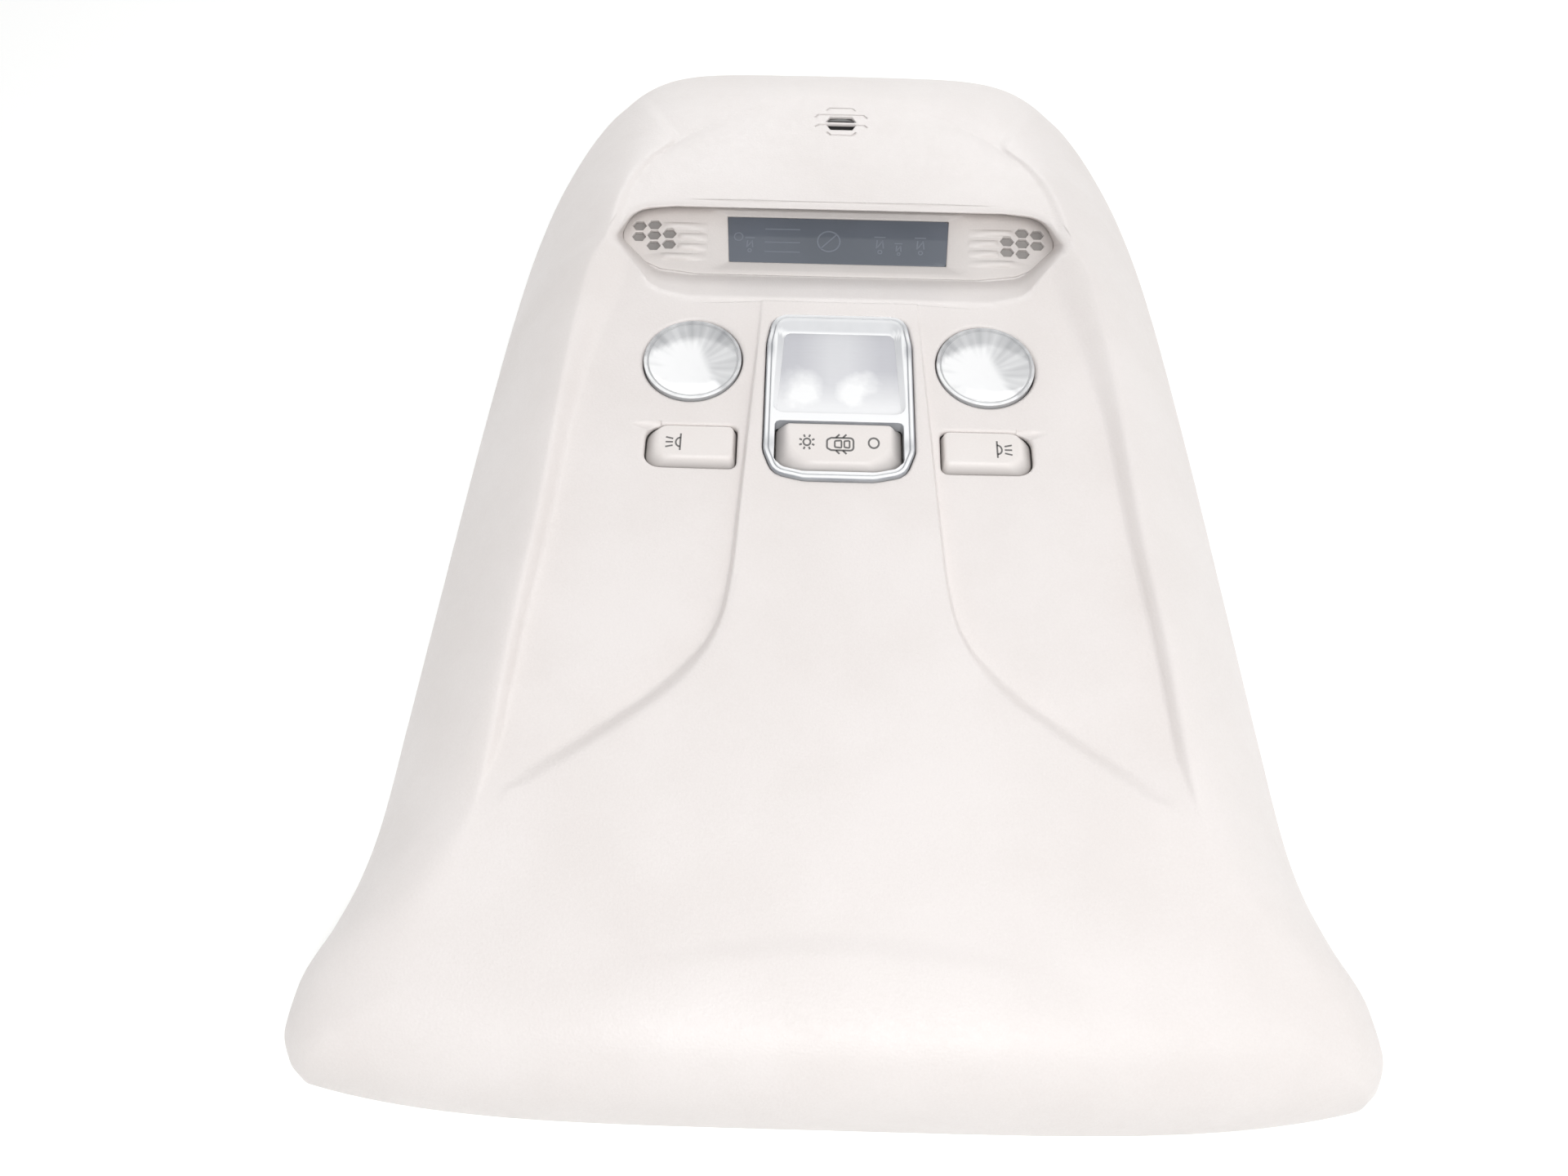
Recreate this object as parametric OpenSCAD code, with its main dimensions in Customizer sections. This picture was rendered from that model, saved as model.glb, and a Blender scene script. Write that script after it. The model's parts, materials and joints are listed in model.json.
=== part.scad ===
/* [Console shell] */
// Length of the console, from the rear lip to the windscreen edge
console_l = 420; // [412:1:430]
// Greatest width, at the flared lip
console_w = 302; // [296:1:310]
// Height of the spine above the roof plane
spine_h = 37; // [36:0.5:39]
// Thickness of the moulded wall
wall = 2.5; // [2:0.1:3]
// Gap round every piece that shows through the shell
fit_gap = 0.35; // [0.3:0.05:0.5]

/* [Reading lamps] */
// Radius of a reading lamp lens
lens_r = 16.6; // [15.5:0.1:17]
// Distance of a lens from the centre line
lens_x = 49.6; // [49:0.2:50.4]
// Place of the lenses along the console
lens_y = 25; // [24.5:0.5:26]

/* [Keys] */
// Length of a key cap
key_l = 29.4; // [28:0.1:30]
// Width of a key cap
key_w = 15.6; // [14:0.1:16]
// Distance of a key from the centre line
key_x = 48.2; // [47.8:0.2:49]
// Place of the keys along the console
key_y = -10; // [-10.6:0.2:-9.4]
// Travel of a key
key_travel = 1.2; // [0.6:0.1:1.4]

/* [Dome lamp] */
// Width of the dome lamp frame
frame_w = 50.6; // [49:0.2:51.4]
// Rear end of the dome lamp frame
frame_y0 = -25.2; // [-25.6:0.2:-24.8]
// Front end of the dome lamp frame
frame_y1 = 42.6; // [42:0.2:43.4]
// Swing of the rocker to each side, in degrees
rocker_swing = 6; // [3:0.5:7]

/* [Display] */
// Tilt of the display face towards the cabin
disp_tilt = 13; // [11:0.5:14]
// Depth of the display insert below the spine
disp_depth = 14.5; // [13.5:0.5:15]
// Corner-to-corner width of a hexagon cell
cell_w = 4.9; // [4:0.1:5.2]

/* [Mounting] */
// Distance between the bolt holes across the console
bolt_x = 160; // [156:1:164]
// Distance between the bolt holes along the console
bolt_y = 48; // [44:1:50]
// Radius of a bolt hole
bolt_r = 2.6; // [2.2:0.1:3]

/* [Hidden] */
$fn = 48;

// Scale of the shell's hand-drawn lines, which are set out on a 302 x 420 console 37 high
sx = console_w / 302;
sy = console_l / 420;
dz = spine_h - 37;

// Heights of the layers inside the console
cover_z = 3;
cover_t = 2;
board_z = 8;
board_t = 1.6;
deck_z = 22;
deck_t = 2;
deck_top = deck_z + deck_t;
board_top = board_z + board_t;
house_x = 73;
house_y0 = -31;
house_y1 = 50;
house_wall = 2;
tower_r = 5;
ear_t = 3;
screw_x = 66.5;
screw_y = [-25, 44.5];
screw_r = 1.4;

// A smooth monotone curve through the rows [position, value] of a table
function seg(tb, y, i = 0) = (i >= len(tb) - 2 || y < tb[i + 1][0]) ? i : seg(tb, y, i + 1);
function rise(tb, i) = (tb[i + 1][1] - tb[i][1]) / (tb[i + 1][0] - tb[i][0]);
function tangent(tb, i) =
    i <= 0 ? rise(tb, 0)
    : i >= len(tb) - 1 ? rise(tb, len(tb) - 2)
    : let(a = rise(tb, i - 1), b = rise(tb, i)) (a * b <= 0 ? 0 : 2 * a * b / (a + b));
function curve(tb, y) =
    let(i = seg(tb, y), h = tb[i + 1][0] - tb[i][0], u = min(1, max(0, (y - tb[i][0]) / h)),
        m = tangent(tb, i) * h, n = tangent(tb, i + 1) * h, v = u * u, w = v * u)
    (2 * w - 3 * v + 1) * tb[i][1] + (w - 2 * v + u) * m + (3 * v - 2 * w) * tb[i + 1][1] + (w - v) * n;
function ease(u) = u * u * (3 - 2 * u);
function clamp(u) = min(1, max(0, u));

// Lines of the shell, from the lip (negative y) to the windscreen edge, in half widths and heights
row_line = [[0, -195], [9, -158], [13, -134], [27, -72], [38, 52], [41, 90], [50, 174]];
row_bow = [[-195, 10], [-175, 5], [-150, 1], [-120, 0], [60, 0], [90, -6], [130, -17], [174, -33]];
spine_z = [[-195, 39.6], [-186, 41.6], [-175, 42.2], [-160, 41.2], [-129, 40.2], [-80, 38.8],
    [-40, 37.5], [-24, 37.1], [0, 37], [45, 36.8], [55, 36.4], [100, 33], [150, 24.8], [174, 19]];
crest_x = [[-185, 118], [-170, 117], [-150, 107], [-133, 99], [-80, 96.5], [-37, 93.5], [20, 91.5],
    [62, 88], [70, 86], [78, 83], [95, 82], [112, 79.5], [127, 74.5], [141, 66]];
crest_z = [[-185, 36.5], [-170, 38], [-150, 39], [-129, 40], [-80, 40.3], [-37, 40], [20, 39.5],
    [70, 38.6], [78, 38], [112, 31.5], [141, 24]];
edge_x = [[-195, 40], [-140, 88], [-133, 95], [-127, 83], [-118, 70], [-108, 57], [-98, 46],
    [-90, 40], [-80, 35.5], [-70, 33.2], [-57, 31.8], [-32, 30.6], [3, 28.8], [39, 26.8], [60, 26],
    [174, 22]];
edge_w = [[-195, 20], [-140, 1.5], [-133, 0.6], [-127, 8], [-118, 12], [-108, 12.5], [-98, 11],
    [-90, 8.5], [-80, 5], [-70, 3.2], [-40, 2.2], [0, 1.8], [58, 1.4], [90, 8], [174, 8]];
edge_d = [[-195, 0], [-133, 0], [-126, 1.5], [-116, 3.6], [-98, 5.4], [-70, 5.2], [-40, 4.4],
    [0, 3], [27, 1.8], [45, 0.8], [58, 0.2], [64, 0], [174, 0]];
pad_w = [[-195, 15], [-140, 1.5], [-133, 0.6], [-115, 3.2], [-60, 4.2], [-7, 5.2], [33, 9],
    [60, 13], [72, 11.5], [84, 6], [95, 8], [174, 10]];
pad_d = [[-195, 0], [-133, 0], [-124, 1.6], [-108, 3.6], [-80, 4.4], [-40, 4.8], [0, 5], [33, 5.2],
    [55, 5], [66, 4.2], [76, 2.4], [84, 1.6], [92, 1.3], [174, 1.1]];
rim_y = [[-185, -202], [-178, -194], [-165, -175], [-150, -155], [-129, -131], [-80, -80],
    [60, 61], [112, 128], [128, 158], [141, 190]];
rim_x = [[-202, 143], [-198, 147.5], [-190, 151], [-179, 150], [-163, 144], [-147, 139.5],
    [-127, 136.5], [-97, 134.5], [-51, 131.5], [14, 127], [86, 120.5], [123, 114.5], [154, 106],
    [178, 96], [190, 88]];
round_n = [[-185, 1.95], [-165, 1.7], [-129, 1.36], [-80, 1.25], [60, 1.25], [141, 1.22]];

// Half width of each line at one row: centre, spine edge, wall foot, pad edge, crest
function lines(y, ye) =
    let(c = curve(crest_x, ye), e = min(curve(edge_x, y), c - 2.4), p = c - curve(pad_w, y),
        f = min(e + curve(edge_w, y), p - 0.4))
    [0, e, f, p, c];
// Surface height at fraction s of the half width
function base_z(y, ye, s) =
    let(a = curve(spine_z, y), b = curve(crest_z, ye)) a + (b - a) * s * s;
// The raised pad of the lip behind its arched line
function lip_z(x, y) = 1.1 * ease(clamp((-165.5 - 0.0031 * x * x - y) / 7)) * ease(clamp((88 - abs(x)) / 30));
// Place of column h of a half, for cn = numbers of columns between the lines
function part_of(cn, h, k = 0) = h < cn[k] || k == 3 ? [k, h / cn[k]] : part_of(cn, h - cn[k], k + 1);
function skin(y, h, cn) =
    let(ye = y + curve(row_bow, y), f = lines(y, ye), q = part_of(cn, h), k = q[0], u = q[1],
        x = f[k] + (f[k + 1] - f[k]) * u, s = x / f[4],
        d = [0, 0, curve(edge_d, y), curve(pad_d, y), 0],
        drop = d[k] + (d[k + 1] - d[k]) * (k == 1 || k == 3 ? ease(u) : u),
        yy = y + (ye - y) * s * s)
    [x, yy, base_z(y, ye, s) - drop + lip_z(x, yy)];
// Height of the finished surface over a point away from both ends
function top_z(x, y) =
    let(f = lines(y, y), ax = abs(x), k = ax < f[1] ? 0 : ax < f[2] ? 1 : ax < f[3] ? 2 : 3,
        u = (ax - f[k]) / (f[k + 1] - f[k]), d = [0, 0, curve(edge_d, y), curve(pad_d, y), 0])
    base_z(y, y, ax / f[4]) - d[k] - (d[k + 1] - d[k]) * (k == 1 || k == 3 ? ease(u) : u) + dz;
// Foot of the flank: side, front and rear edges of the rim
function rim_side(ye) = let(y = curve(rim_y, ye)) [curve(rim_x, y), y];
function rim_front(s) = [88 * s, 210 - 20 * pow(s, 6.4)];
function rim_rear(s) = [143 * s, -210 + 8 * pow(s, 4.2)];

// One closed skin: a patch of rows and columns with a flank of rings round it
module skin_solid(rows, cn, rings, inset, deep) {
    half = cn[0] + cn[1] + cn[2] + cn[3];
    cols = 2 * half;
    side = [for (i = [0 : rows]) curve(row_line, 50 * i / rows)];
    patch = [for (i = [0 : rows], j = [0 : cols])
        let(g = j < half ? -1 : 1, p = skin(side[i], abs(j - half), cn),
            k = 1 - 0.5 * inset / 95)
        [g * p[0] * k * sx, p[1] * k * sy, p[2] + dz - inset]];
    around = concat(
        [for (j = [0 : cols - 1]) [0, j]], [for (i = [0 : rows - 1]) [i, cols]],
        [for (j = [cols : -1 : 1]) [rows, j]], [for (i = [rows : -1 : 1]) [i, 0]]);
    n = len(around);
    kx = 1 - inset / 151;
    ky = 1 - inset / 210;
    foot = [for (a = around)
        let(i = a[0], j = a[1], g = j < half ? -1 : 1, y = side[i], ye = y + curve(row_bow, y),
            s = skin(y, abs(j - half), cn)[0] / lines(y, ye)[4],
            r = (j == 0 || j == cols) ? rim_side(ye) : i == 0 ? rim_rear(s) : rim_front(s))
        [g * r[0] * kx * sx, r[1] * ky * sy, 2 / curve(round_n, i == 0 ? -185 : i == rows ? 141 : ye)]];
    ring = [for (k = [1 : rings], m = [0 : n - 1])
        let(c = patch[around[m][0] * (cols + 1) + around[m][1]], r = foot[m],
            a = pow(sin(90 * k / rings), r[2]), b = k == rings ? 0 : pow(cos(90 * k / rings), r[2]))
        [c[0] + (r[0] - c[0]) * a, c[1] + (r[1] - c[1]) * a, c[2] * b]];
    hem = deep > 0 ? [for (m = [0 : n - 1]) [foot[m][0], foot[m][1], -deep]] : [];
    first = (rows + 1) * (cols + 1);
    last = rings + (deep > 0 ? 1 : 0);
    function at(k, m) = let(q = m % n) k == 0 ? around[q][0] * (cols + 1) + around[q][1]
        : first + (k - 1) * n + q;
    top = [for (i = [0 : rows - 1], j = [0 : cols - 1], t = [0, 1])
        let(a = i * (cols + 1) + j, b = a + cols + 1)
        j < half ? (t == 0 ? [a, b, b + 1] : [a, b + 1, a + 1])
        : (t == 0 ? [a, b, a + 1] : [b, b + 1, a + 1])];
    wrap = [for (k = [0 : last - 1], m = [0 : n - 1], t = [0, 1])
        t == 0 ? [at(k, m), at(k, m + 1), at(k + 1, m + 1)] : [at(k, m), at(k + 1, m + 1), at(k + 1, m)]];
    // underside in strips from side to side, with one face at the middle of each end
    q = round(half * 0.4);
    end = cols + rows + half;
    under = concat(
        [for (m = [half + q : end - q - 1])
            [at(last, m), at(last, m + 1), at(last, n + cols - m - 1), at(last, n + cols - m)]],
        [[for (m = [half - q : half + q]) at(last, m)], [for (m = [end - q : end + q]) at(last, m)]]);
    polyhedron(concat(patch, ring, hem), concat(top, wrap, under), 4);
}
module outer_skin() {
    skin_solid(46, [3, 3, 3, 3], 6, 0, 0);
}
module inner_skin() {
    skin_solid(20, [1, 1, 2, 1], 3, wall, 1);
}

// Colours
shell_c = [0.86, 0.83, 0.79];
clear_c = [0.8, 0.84, 0.88, 0.45];
smoke_c = [0.2, 0.22, 0.25];
bright_c = [0.85, 0.86, 0.88];
black_c = [0.12, 0.12, 0.13];
board_c = [0.1, 0.35, 0.2];
steel_c = [0.65, 0.66, 0.68];

// Heights that follow the surface at each fitting
frame_top = top_z(0, 10) + 0.9;
lens_top = top_z(lens_x, lens_y) + 0.3;
key_top = top_z(key_x, key_y) + 0.9;
key_skin = top_z(key_x, key_y);
plate_t = 2.6;
under_z = frame_top - 2.2 - plate_t;
diff_t = 1.4;
// Dome lamp window, wider at the rear, and the tray and plate below it
dome_x = frame_w / 2 - 4.3;
dome_y0 = frame_y0 + 27;
dome_y1 = frame_y1 - 6.6;
tray_x = frame_w / 2 - 5.7;
diff_z = under_z - 0.2 - diff_t;
tray_top = diff_z - 0.1;

// Display insert: centre and plane
disp_y = 89;
disp_z = spine_h - disp_depth;
disp_half = 80;
ins_t = 2.5;
win_top = 42;
win_low = 40.8;
win_v0 = -6.6;
win_v1 = 11.6;
can_h = 9;
module at_display() {
    translate([0, disp_y, disp_z]) rotate([disp_tilt, 0, 0]) children();
}
module both() {
    children();
    mirror([1, 0, 0]) children();
}
// Outline of the display insert, grown by g
module insert_2d(g) {
    offset(r = 3 + g, $fn = 20) offset(delta = -3)
        polygon([[-52, -12.4], [52, -12.4], [66, -10.6], [75, -6.4], [80, -0.6], [80.4, 4.4],
            [77, 12.4], [66, 14], [-66, 14], [-77, 12.4], [-80.4, 4.4], [-80, -0.6], [-75, -6.4],
            [-66, -10.6]]);
}
// Sloping walls of the display recess, from the spine surface down to the insert
module recess(g, lift, low) {
    up = 0.3;
    rim = [[53, 52.5, 36.4], [65, 56, 36.9], [83.2, 75, 38.6], [74, 98.5, 33.6], [60, 99.5, 33.4]];
    c = cos(disp_tilt);
    t = sin(disp_tilt);
    floor_pt = [[54, -13], [68, -11.4], [81.6, 2], [76, 13.4], [62, 14.6]];
    pts = [for (m = [1, -1], i = [0 : 4])
        let(a = [rim[i][0] + g * 0.7, rim[i][1] + g * (i < 2 ? -0.8 : i == 2 ? 0 : 0.7), rim[i][2] + dz],
            b = [floor_pt[i][0] + g * 0.7,
                disp_y + (floor_pt[i][1] + g * (i < 2 ? -1 : i == 2 ? 0 : 1)) * c,
                disp_z + floor_pt[i][1] * t - low],
            e = a + (a - b) * (lift > 0 ? up : -0.02))
        each [[m * e[0], e[1], e[2]], [m * b[0], b[1], b[2]]]];
    hull() polyhedron(pts, [for (i = [0 : len(pts) - 3]) [i, i + 1, i + 2]]);
}
// A plate with rounded corners between two heights
module slab(x0, x1, y0, y1, r, z0, z1) {
    translate([0, 0, z0]) linear_extrude(z1 - z0) hull() for (x = [x0 + r, x1 - r], y = [y0 + r, y1 - r])
        translate([x, y]) circle(r, $fn = 32);
}
module box(x0, x1, y0, y1, z0, z1) {
    translate([x0, y0, z0]) cube([x1 - x0, y1 - y0, z1 - z0]);
}
// Outline of the dome lamp frame: narrower at the rear, with a bowed rear edge
module frame_2d(g) {
    w = frame_w / 2;
    offset(r = 6 + g, $fn = 32) offset(delta = -6)
        polygon([[-w + 2, frame_y1], [w - 2, frame_y1], [w, frame_y1 - 12], [w, frame_y0 + 12],
            [w - 3.6, frame_y0 + 2.4], [w - 14, frame_y0], [14 - w, frame_y0],
            [3.6 - w, frame_y0 + 2.4], [-w, frame_y0 + 12], [-w, frame_y1 - 12]]);
}
rock_w = frame_w - 9.6;
rock_face = rock_w / 2 - 2.6;
rock_slope = 2.6;
rock_y0 = frame_y0 + 4.3;
rock_y1 = frame_y0 + 23.1;
rock_y = (rock_y0 + rock_y1) / 2;
rock_gap = 1;
rock_t = 7.6;
// Outline of the rocker: straight front edge, bowed rear edge
module rocker_2d(gx, gy) {
    w = rock_w / 2 + gx;
    y0 = rock_y0 - gy;
    y1 = rock_y1 + gy;
    offset(r = 1.6, $fn = 24) offset(delta = -1.6)
        polygon([[-w, y1], [w, y1], [w, y0 + 4], [w - 2.6, y0 + 1.6], [w - 9, y0], [9 - w, y0],
            [2.6 - w, y0 + 1.6], [-w, y0 + 4]]);
}
// Outline of the right key: squarish inner end, rounded outer end
module key_2d(g) {
    l = key_l / 2;
    w = key_w / 2;
    translate([key_x, key_y]) hull() {
        for (v = [-1, 1]) translate([-l + 2, v * (w - 2)]) circle(2 + g, $fn = 20);
        for (v = [-1, 1]) translate([l - 5, v * (w - 5)]) circle(5 + g, $fn = 32);
    }
}
// Top face of the right key: well in from the outer end and the rear side
module key_face_2d() {
    l = key_l / 2;
    w = key_w / 2;
    translate([key_x, key_y]) hull() {
        for (v = [-w + 2.7 + 1.6, w - 0.9 - 1.6]) translate([-l + 1.1 + 1.6, v]) circle(1.6, $fn = 20);
        for (v = [-w + 2.7 + 5, w - 0.9 - 3.6]) translate([l - 3.3 - 4.2, v]) circle(4.2, $fn = 28);
    }
}
// A cell of the grilles
module cell(w) {
    circle(d = w, $fn = 6);
}
module cells() {
    step_x = cell_w + 1.1;
    step_y = cell_w * 0.9;
    for (m = [0 : 2]) for (k = [0 : (m == 1 ? 2 : 1)])
        translate([62.2 + m * step_x, (m == 1 ? -0.7 : m == 0 ? 0.1 : 3) + k * step_y])
            scale([1, 0.86]) cell(cell_w * 1.06);
}
sens_y = 152 * sy;
module at_sensor() {
    translate([1, sens_y, top_z(0, sens_y)]) rotate([-12, 0, 0]) children();
}
clip_at = [[62, -168 * sy], [-62, -168 * sy], [54, 138 * sy], [-54, 138 * sy]];
clip_t = 0.8;
blade_w = 14;
blade_t = 2.4;

module console_shell() {
    color(shell_c) difference() {
        union() {
            difference() {
                outer_skin();
                inner_skin();
            }
            // tub of the display recess and everything moulded on the back, trimmed to the skin
            intersection() {
                outer_skin();
                union() {
                    recess(wall, 0, ins_t);
                    for (x = [-screw_x, screw_x], y = screw_y) translate([x, y, deck_top])
                        cylinder(h = 20, r = 4, $fn = 24);
                    for (c = clip_at) box(c[0] - blade_w / 2, c[0] + blade_w / 2,
                        c[1] - blade_t / 2, c[1] + blade_t / 2, 3, 40);
                    both() box(16.2, 17.8, sens_y - 9, sens_y + 11, 14, 30);
                    // ribs across the lip
                    for (x = [-90, -30, 30, 90]) box(x - 0.9, x + 0.9, -190 * sy, -120 * sy, 22, 41);
                    box(-112, 112, -141 * sy, -141 * sy + 1.8, 26, 41);
                }
            }
        }
        recess(0, 1, 0);
        at_display() {
            translate([0, 0, -6]) linear_extrude(12) insert_2d(fit_gap);
            translate([0, 0, -ins_t - 8]) linear_extrude(8) insert_2d(1.4);
        }
        both() {
            // lens hole with a broken edge
            translate([lens_x, lens_y, deck_top]) cylinder(h = 20, r = lens_r + fit_gap, $fn = 64);
            translate([lens_x, lens_y, lens_top - 1]) cylinder(h = 3, r1 = lens_r + fit_gap,
                r2 = lens_r + fit_gap + 3, $fn = 64);
            translate([0, 0, deck_top]) linear_extrude(20) key_2d(fit_gap);
            // finger scoop at the outer front corner of the key
            hull() {
                translate([key_x + key_l / 2 - 3, key_y + key_w / 2 - 2.6, key_skin + 1])
                    sphere(2.8, $fn = 16);
                translate([key_x + key_l / 2 + 3.6, key_y + key_w / 2 - 0.4, key_skin + 2.4])
                    sphere(2.6, $fn = 16);
            }
        }
        translate([0, 0, deck_top]) linear_extrude(20) frame_2d(fit_gap);
        for (x = [-screw_x, screw_x], y = screw_y) translate([x, y, deck_top - 1])
            cylinder(h = 7, r = screw_r + 0.05, $fn = 24);
        // slots of the sensor grille with their engraved brackets
        at_sensor() {
            translate([0, 0, -8]) linear_extrude(16) difference() {
                translate([0, 1.2]) scale([1, 0.98]) circle(6.2, $fn = 6);
                translate([-8, 0.6]) square([16, 1.3]);
            }
            for (v = [13.6, 8, -0, -7.6]) {
                w = abs(v - 3) > 8 ? 4.4 : 9;
                box(-w, w, v - 0.3, v + 0.3, -0.5, 6);
            }
        }
    }
}
module display_bezel() {
    color(shell_c) at_display() difference() {
        union() {
            translate([0, 0, -ins_t]) linear_extrude(ins_t) insert_2d(0);
            translate([0, 0, -ins_t - 1.4]) linear_extrude(1.4) insert_2d(1.1);
        }
        // window pocket with sloping sides, and its opening
        hull() {
            translate([0, 0, -1.6]) linear_extrude(0.01) window_2d(0.2);
            translate([0, 0, 0.01]) linear_extrude(0.01) window_2d(1.6);
        }
        translate([0, 0, -6]) linear_extrude(8) window_2d(fit_gap);
        both() {
            translate([0, 0, -6]) linear_extrude(8) cells();
            for (k = [0 : 3]) box(48, 58.5 + (k == 0 || k == 3 ? 4 : 0), 7.6 - k * 4.2, 8.8 - k * 4.2,
                -0.7, 1);
        }
    }
}
module window_2d(g) {
    polygon([[-win_low - g, win_v0 - g], [win_low + g, win_v0 - g], [win_top + g, win_v1 + g],
        [-win_top - g, win_v1 + g]]);
}
module display_window() {
    color(smoke_c) at_display() {
        translate([0, 0, -ins_t - 1.4]) linear_extrude(ins_t) window_2d(0);
    }
}
module display_housing() {
    color(black_c) at_display() translate([0, 0, -ins_t - 1.4 - can_h]) difference() {
        box(-46, 46, -9.4, 12.6, 0, can_h);
        box(-44.6, 44.6, -8, 11.2, 1.4, can_h + 1);
    }
}
module display_board() {
    color(board_c) at_display() box(-44.2, 44.2, -7.6, 10.8, -ins_t - 3.4 - board_t, -ins_t - 3.4);
}
module microphone() {
    at_display() translate([69.2, 3, -ins_t - 1.4 - 4.5]) cylinder(h = 4.5, r = 9.5);
}
module right_microphone() {
    color(black_c) microphone();
}
module left_microphone() {
    color(black_c) mirror([1, 0, 0]) microphone();
}
module sensor_module() {
    color(black_c) at_sensor() box(-14.6, 14.6, -7, 9, -9.4, -wall - 0.9);
}
module dome_lens() {
    color(clear_c) difference() {
        translate([0, 0, deck_top]) linear_extrude(frame_top - deck_top) frame_2d(0);
        // open below, with a wall all round
        translate([0, 0, deck_top - 1]) linear_extrude(under_z - deck_top + 1) frame_2d(-1.8);
        // recess over the window, with sloping sides
        hull() {
            translate([0, 0, frame_top - 2.2]) linear_extrude(0.01) offset(r = 2, $fn = 24) offset(delta = -2)
                polygon([[-dome_x, dome_y0], [dome_x, dome_y0], [dome_x - 2, dome_y1], [2 - dome_x, dome_y1]]);
            slab(-dome_x - 1.4, dome_x + 1.4, dome_y0 - 0.7, dome_y1 + 4.2, 3.6, frame_top, frame_top + 0.01);
        }
        translate([0, 0, deck_top]) linear_extrude(30) rocker_2d(rock_gap, fit_gap);
    }
}
module dome_diffuser() {
    color([0.93, 0.94, 0.95]) slab(-tray_x, tray_x, dome_y0 - 0.6, dome_y1 + 1.4, 2, diff_z, diff_z + diff_t);
}
tray_z = 12.6;
module dome_reflector() {
    color(bright_c) difference() {
        union() {
            hull() {
                box(-tray_x, tray_x, dome_y0 - 0.2, dome_y1 + 1, tray_top - 0.4, tray_top - 0.3);
                box(-tray_x + 1.2, tray_x - 1.2, dome_y0 + 6.2, dome_y1 - 5, tray_z, tray_z + 0.1);
            }
            box(-tray_x - 0.8, tray_x + 0.8, dome_y0 - 1, dome_y1 + 2.2, tray_top - 1.2, tray_top);
            for (x = [-14, 14]) {
                box(x - 2, x + 2, dome_y1 + 1, dome_y1 + 4.2, deck_top, tray_top);
                box(x - 2, x + 2, dome_y0 - 3, dome_y0, deck_top, tray_top);
            }
        }
        hull() {
            box(-tray_x + 1.2, tray_x - 1.2, dome_y0 + 1, dome_y1 - 0.2, tray_top, tray_top + 0.1);
            box(-tray_x + 2.4, tray_x - 2.4, dome_y0 + 7.4, dome_y1 - 6.2, tray_z + 1.2, tray_z + 1.3);
        }
        both() box(tray_x - 4, tray_x - 2, bulb_y - 4.2, bulb_y + 4.2, 0, tray_z + 4);
    }
}
bulb_y = frame_y1 - 23.1;
bulb_z = 22;
module dome_bulb() {
    color([0.9, 0.92, 0.95]) translate([0, bulb_y, bulb_z]) rotate([0, 90, 0]) {
        cylinder(h = 2 * tray_x - 15.2, r = 5, center = true);
        cylinder(h = 2 * tray_x - 8.2, r = 3.4, center = true);
    }
}
module bulb_contacts() {
    color(steel_c) both() difference() {
        box(tray_x - 3.9, tray_x - 3.1, bulb_y - 3.6, bulb_y + 3.6, board_top, bulb_z + 4);
        box(tray_x - 4.6, tray_x - 2.6, bulb_y - 1.6, bulb_y + 1.6, bulb_z - 1.6, bulb_z + 1.6);
    }
}
rock_z = frame_top - 0.5;
pin_z = rock_z - 7;
pin_r = 1.2;
module dome_switch() {
    color(shell_c) {
        hull() {
            translate([0, 0, rock_z - rock_t]) linear_extrude(rock_t - rock_slope) rocker_2d(0, 0);
            translate([0, 0, rock_z - 0.1]) linear_extrude(0.1) offset(r = 4, $fn = 32) offset(delta = -4)
                polygon([[-rock_face, rock_y1 - 0.4], [rock_face, rock_y1 - 0.4],
                    [rock_face - 1.6, rock_y0 + 6], [rock_face - 6, rock_y0 + 3.4],
                    [6 - rock_face, rock_y0 + 3.4], [1.6 - rock_face, rock_y0 + 6]]);
        }
        translate([0, rock_y, pin_z]) rotate([90, 0, 0])
            cylinder(h = rock_y1 - rock_y0 + 3.2, r = pin_r, center = true);
    }
}
module dome_contact_switch() {
    color(black_c) {
        box(-9, 9, rock_y - 5, rock_y + 5, board_top, board_top + 9);
        box(-2, 2, rock_y - 1.5, rock_y + 1.5, board_top + 9, pin_z - pin_r - 0.5);
    }
}
module map_lens() {
    translate([lens_x, lens_y, 0]) rotate_extrude($fn = 72) polygon([
        [0, lens_top - 3.4], [5, lens_top - 3.2], [10, lens_top - 2.6], [13.4, lens_top - 1.6],
        [lens_r - 1.4, lens_top - 0.2], [lens_r - 0.9, lens_top], [lens_r - 0.2, lens_top - 0.1],
        [lens_r, lens_top - 0.5], [lens_r, deck_top + 1.2], [lens_r - 1.5, deck_top + 1.2],
        [lens_r - 1.5, lens_top - 3], [13, lens_top - 3.8], [10, lens_top - 4.6],
        [5, lens_top - 5.2], [0, lens_top - 5.4]]);
}
module right_map_lens() {
    color(clear_c) map_lens();
}
module left_map_lens() {
    color(clear_c) mirror([1, 0, 0]) map_lens();
}
bowl_z = 15;
neck_r = 6.6;
module reflector() {
    h = deck_top - bowl_z;
    out = [for (k = [0 : 10]) [neck_r + (lens_r - 0.2 - neck_r) * sqrt(k / 10), bowl_z + h * k / 10]];
    in = [for (k = [10 : -1 : 0]) [neck_r - 1 + (lens_r - 0.2 - neck_r) * sqrt(k / 10),
        bowl_z + h * k / 10]];
    translate([lens_x, lens_y, 0]) rotate_extrude($fn = 72)
        polygon(concat(out, [[lens_r + 2.4, deck_top], [lens_r + 2.4, deck_top + 1.2],
            [lens_r - 1.2, deck_top + 1.2]], in));
}
module right_reflector() {
    color(bright_c) reflector();
}
module left_reflector() {
    color(bright_c) mirror([1, 0, 0]) reflector();
}
holder_h = 5;
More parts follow.
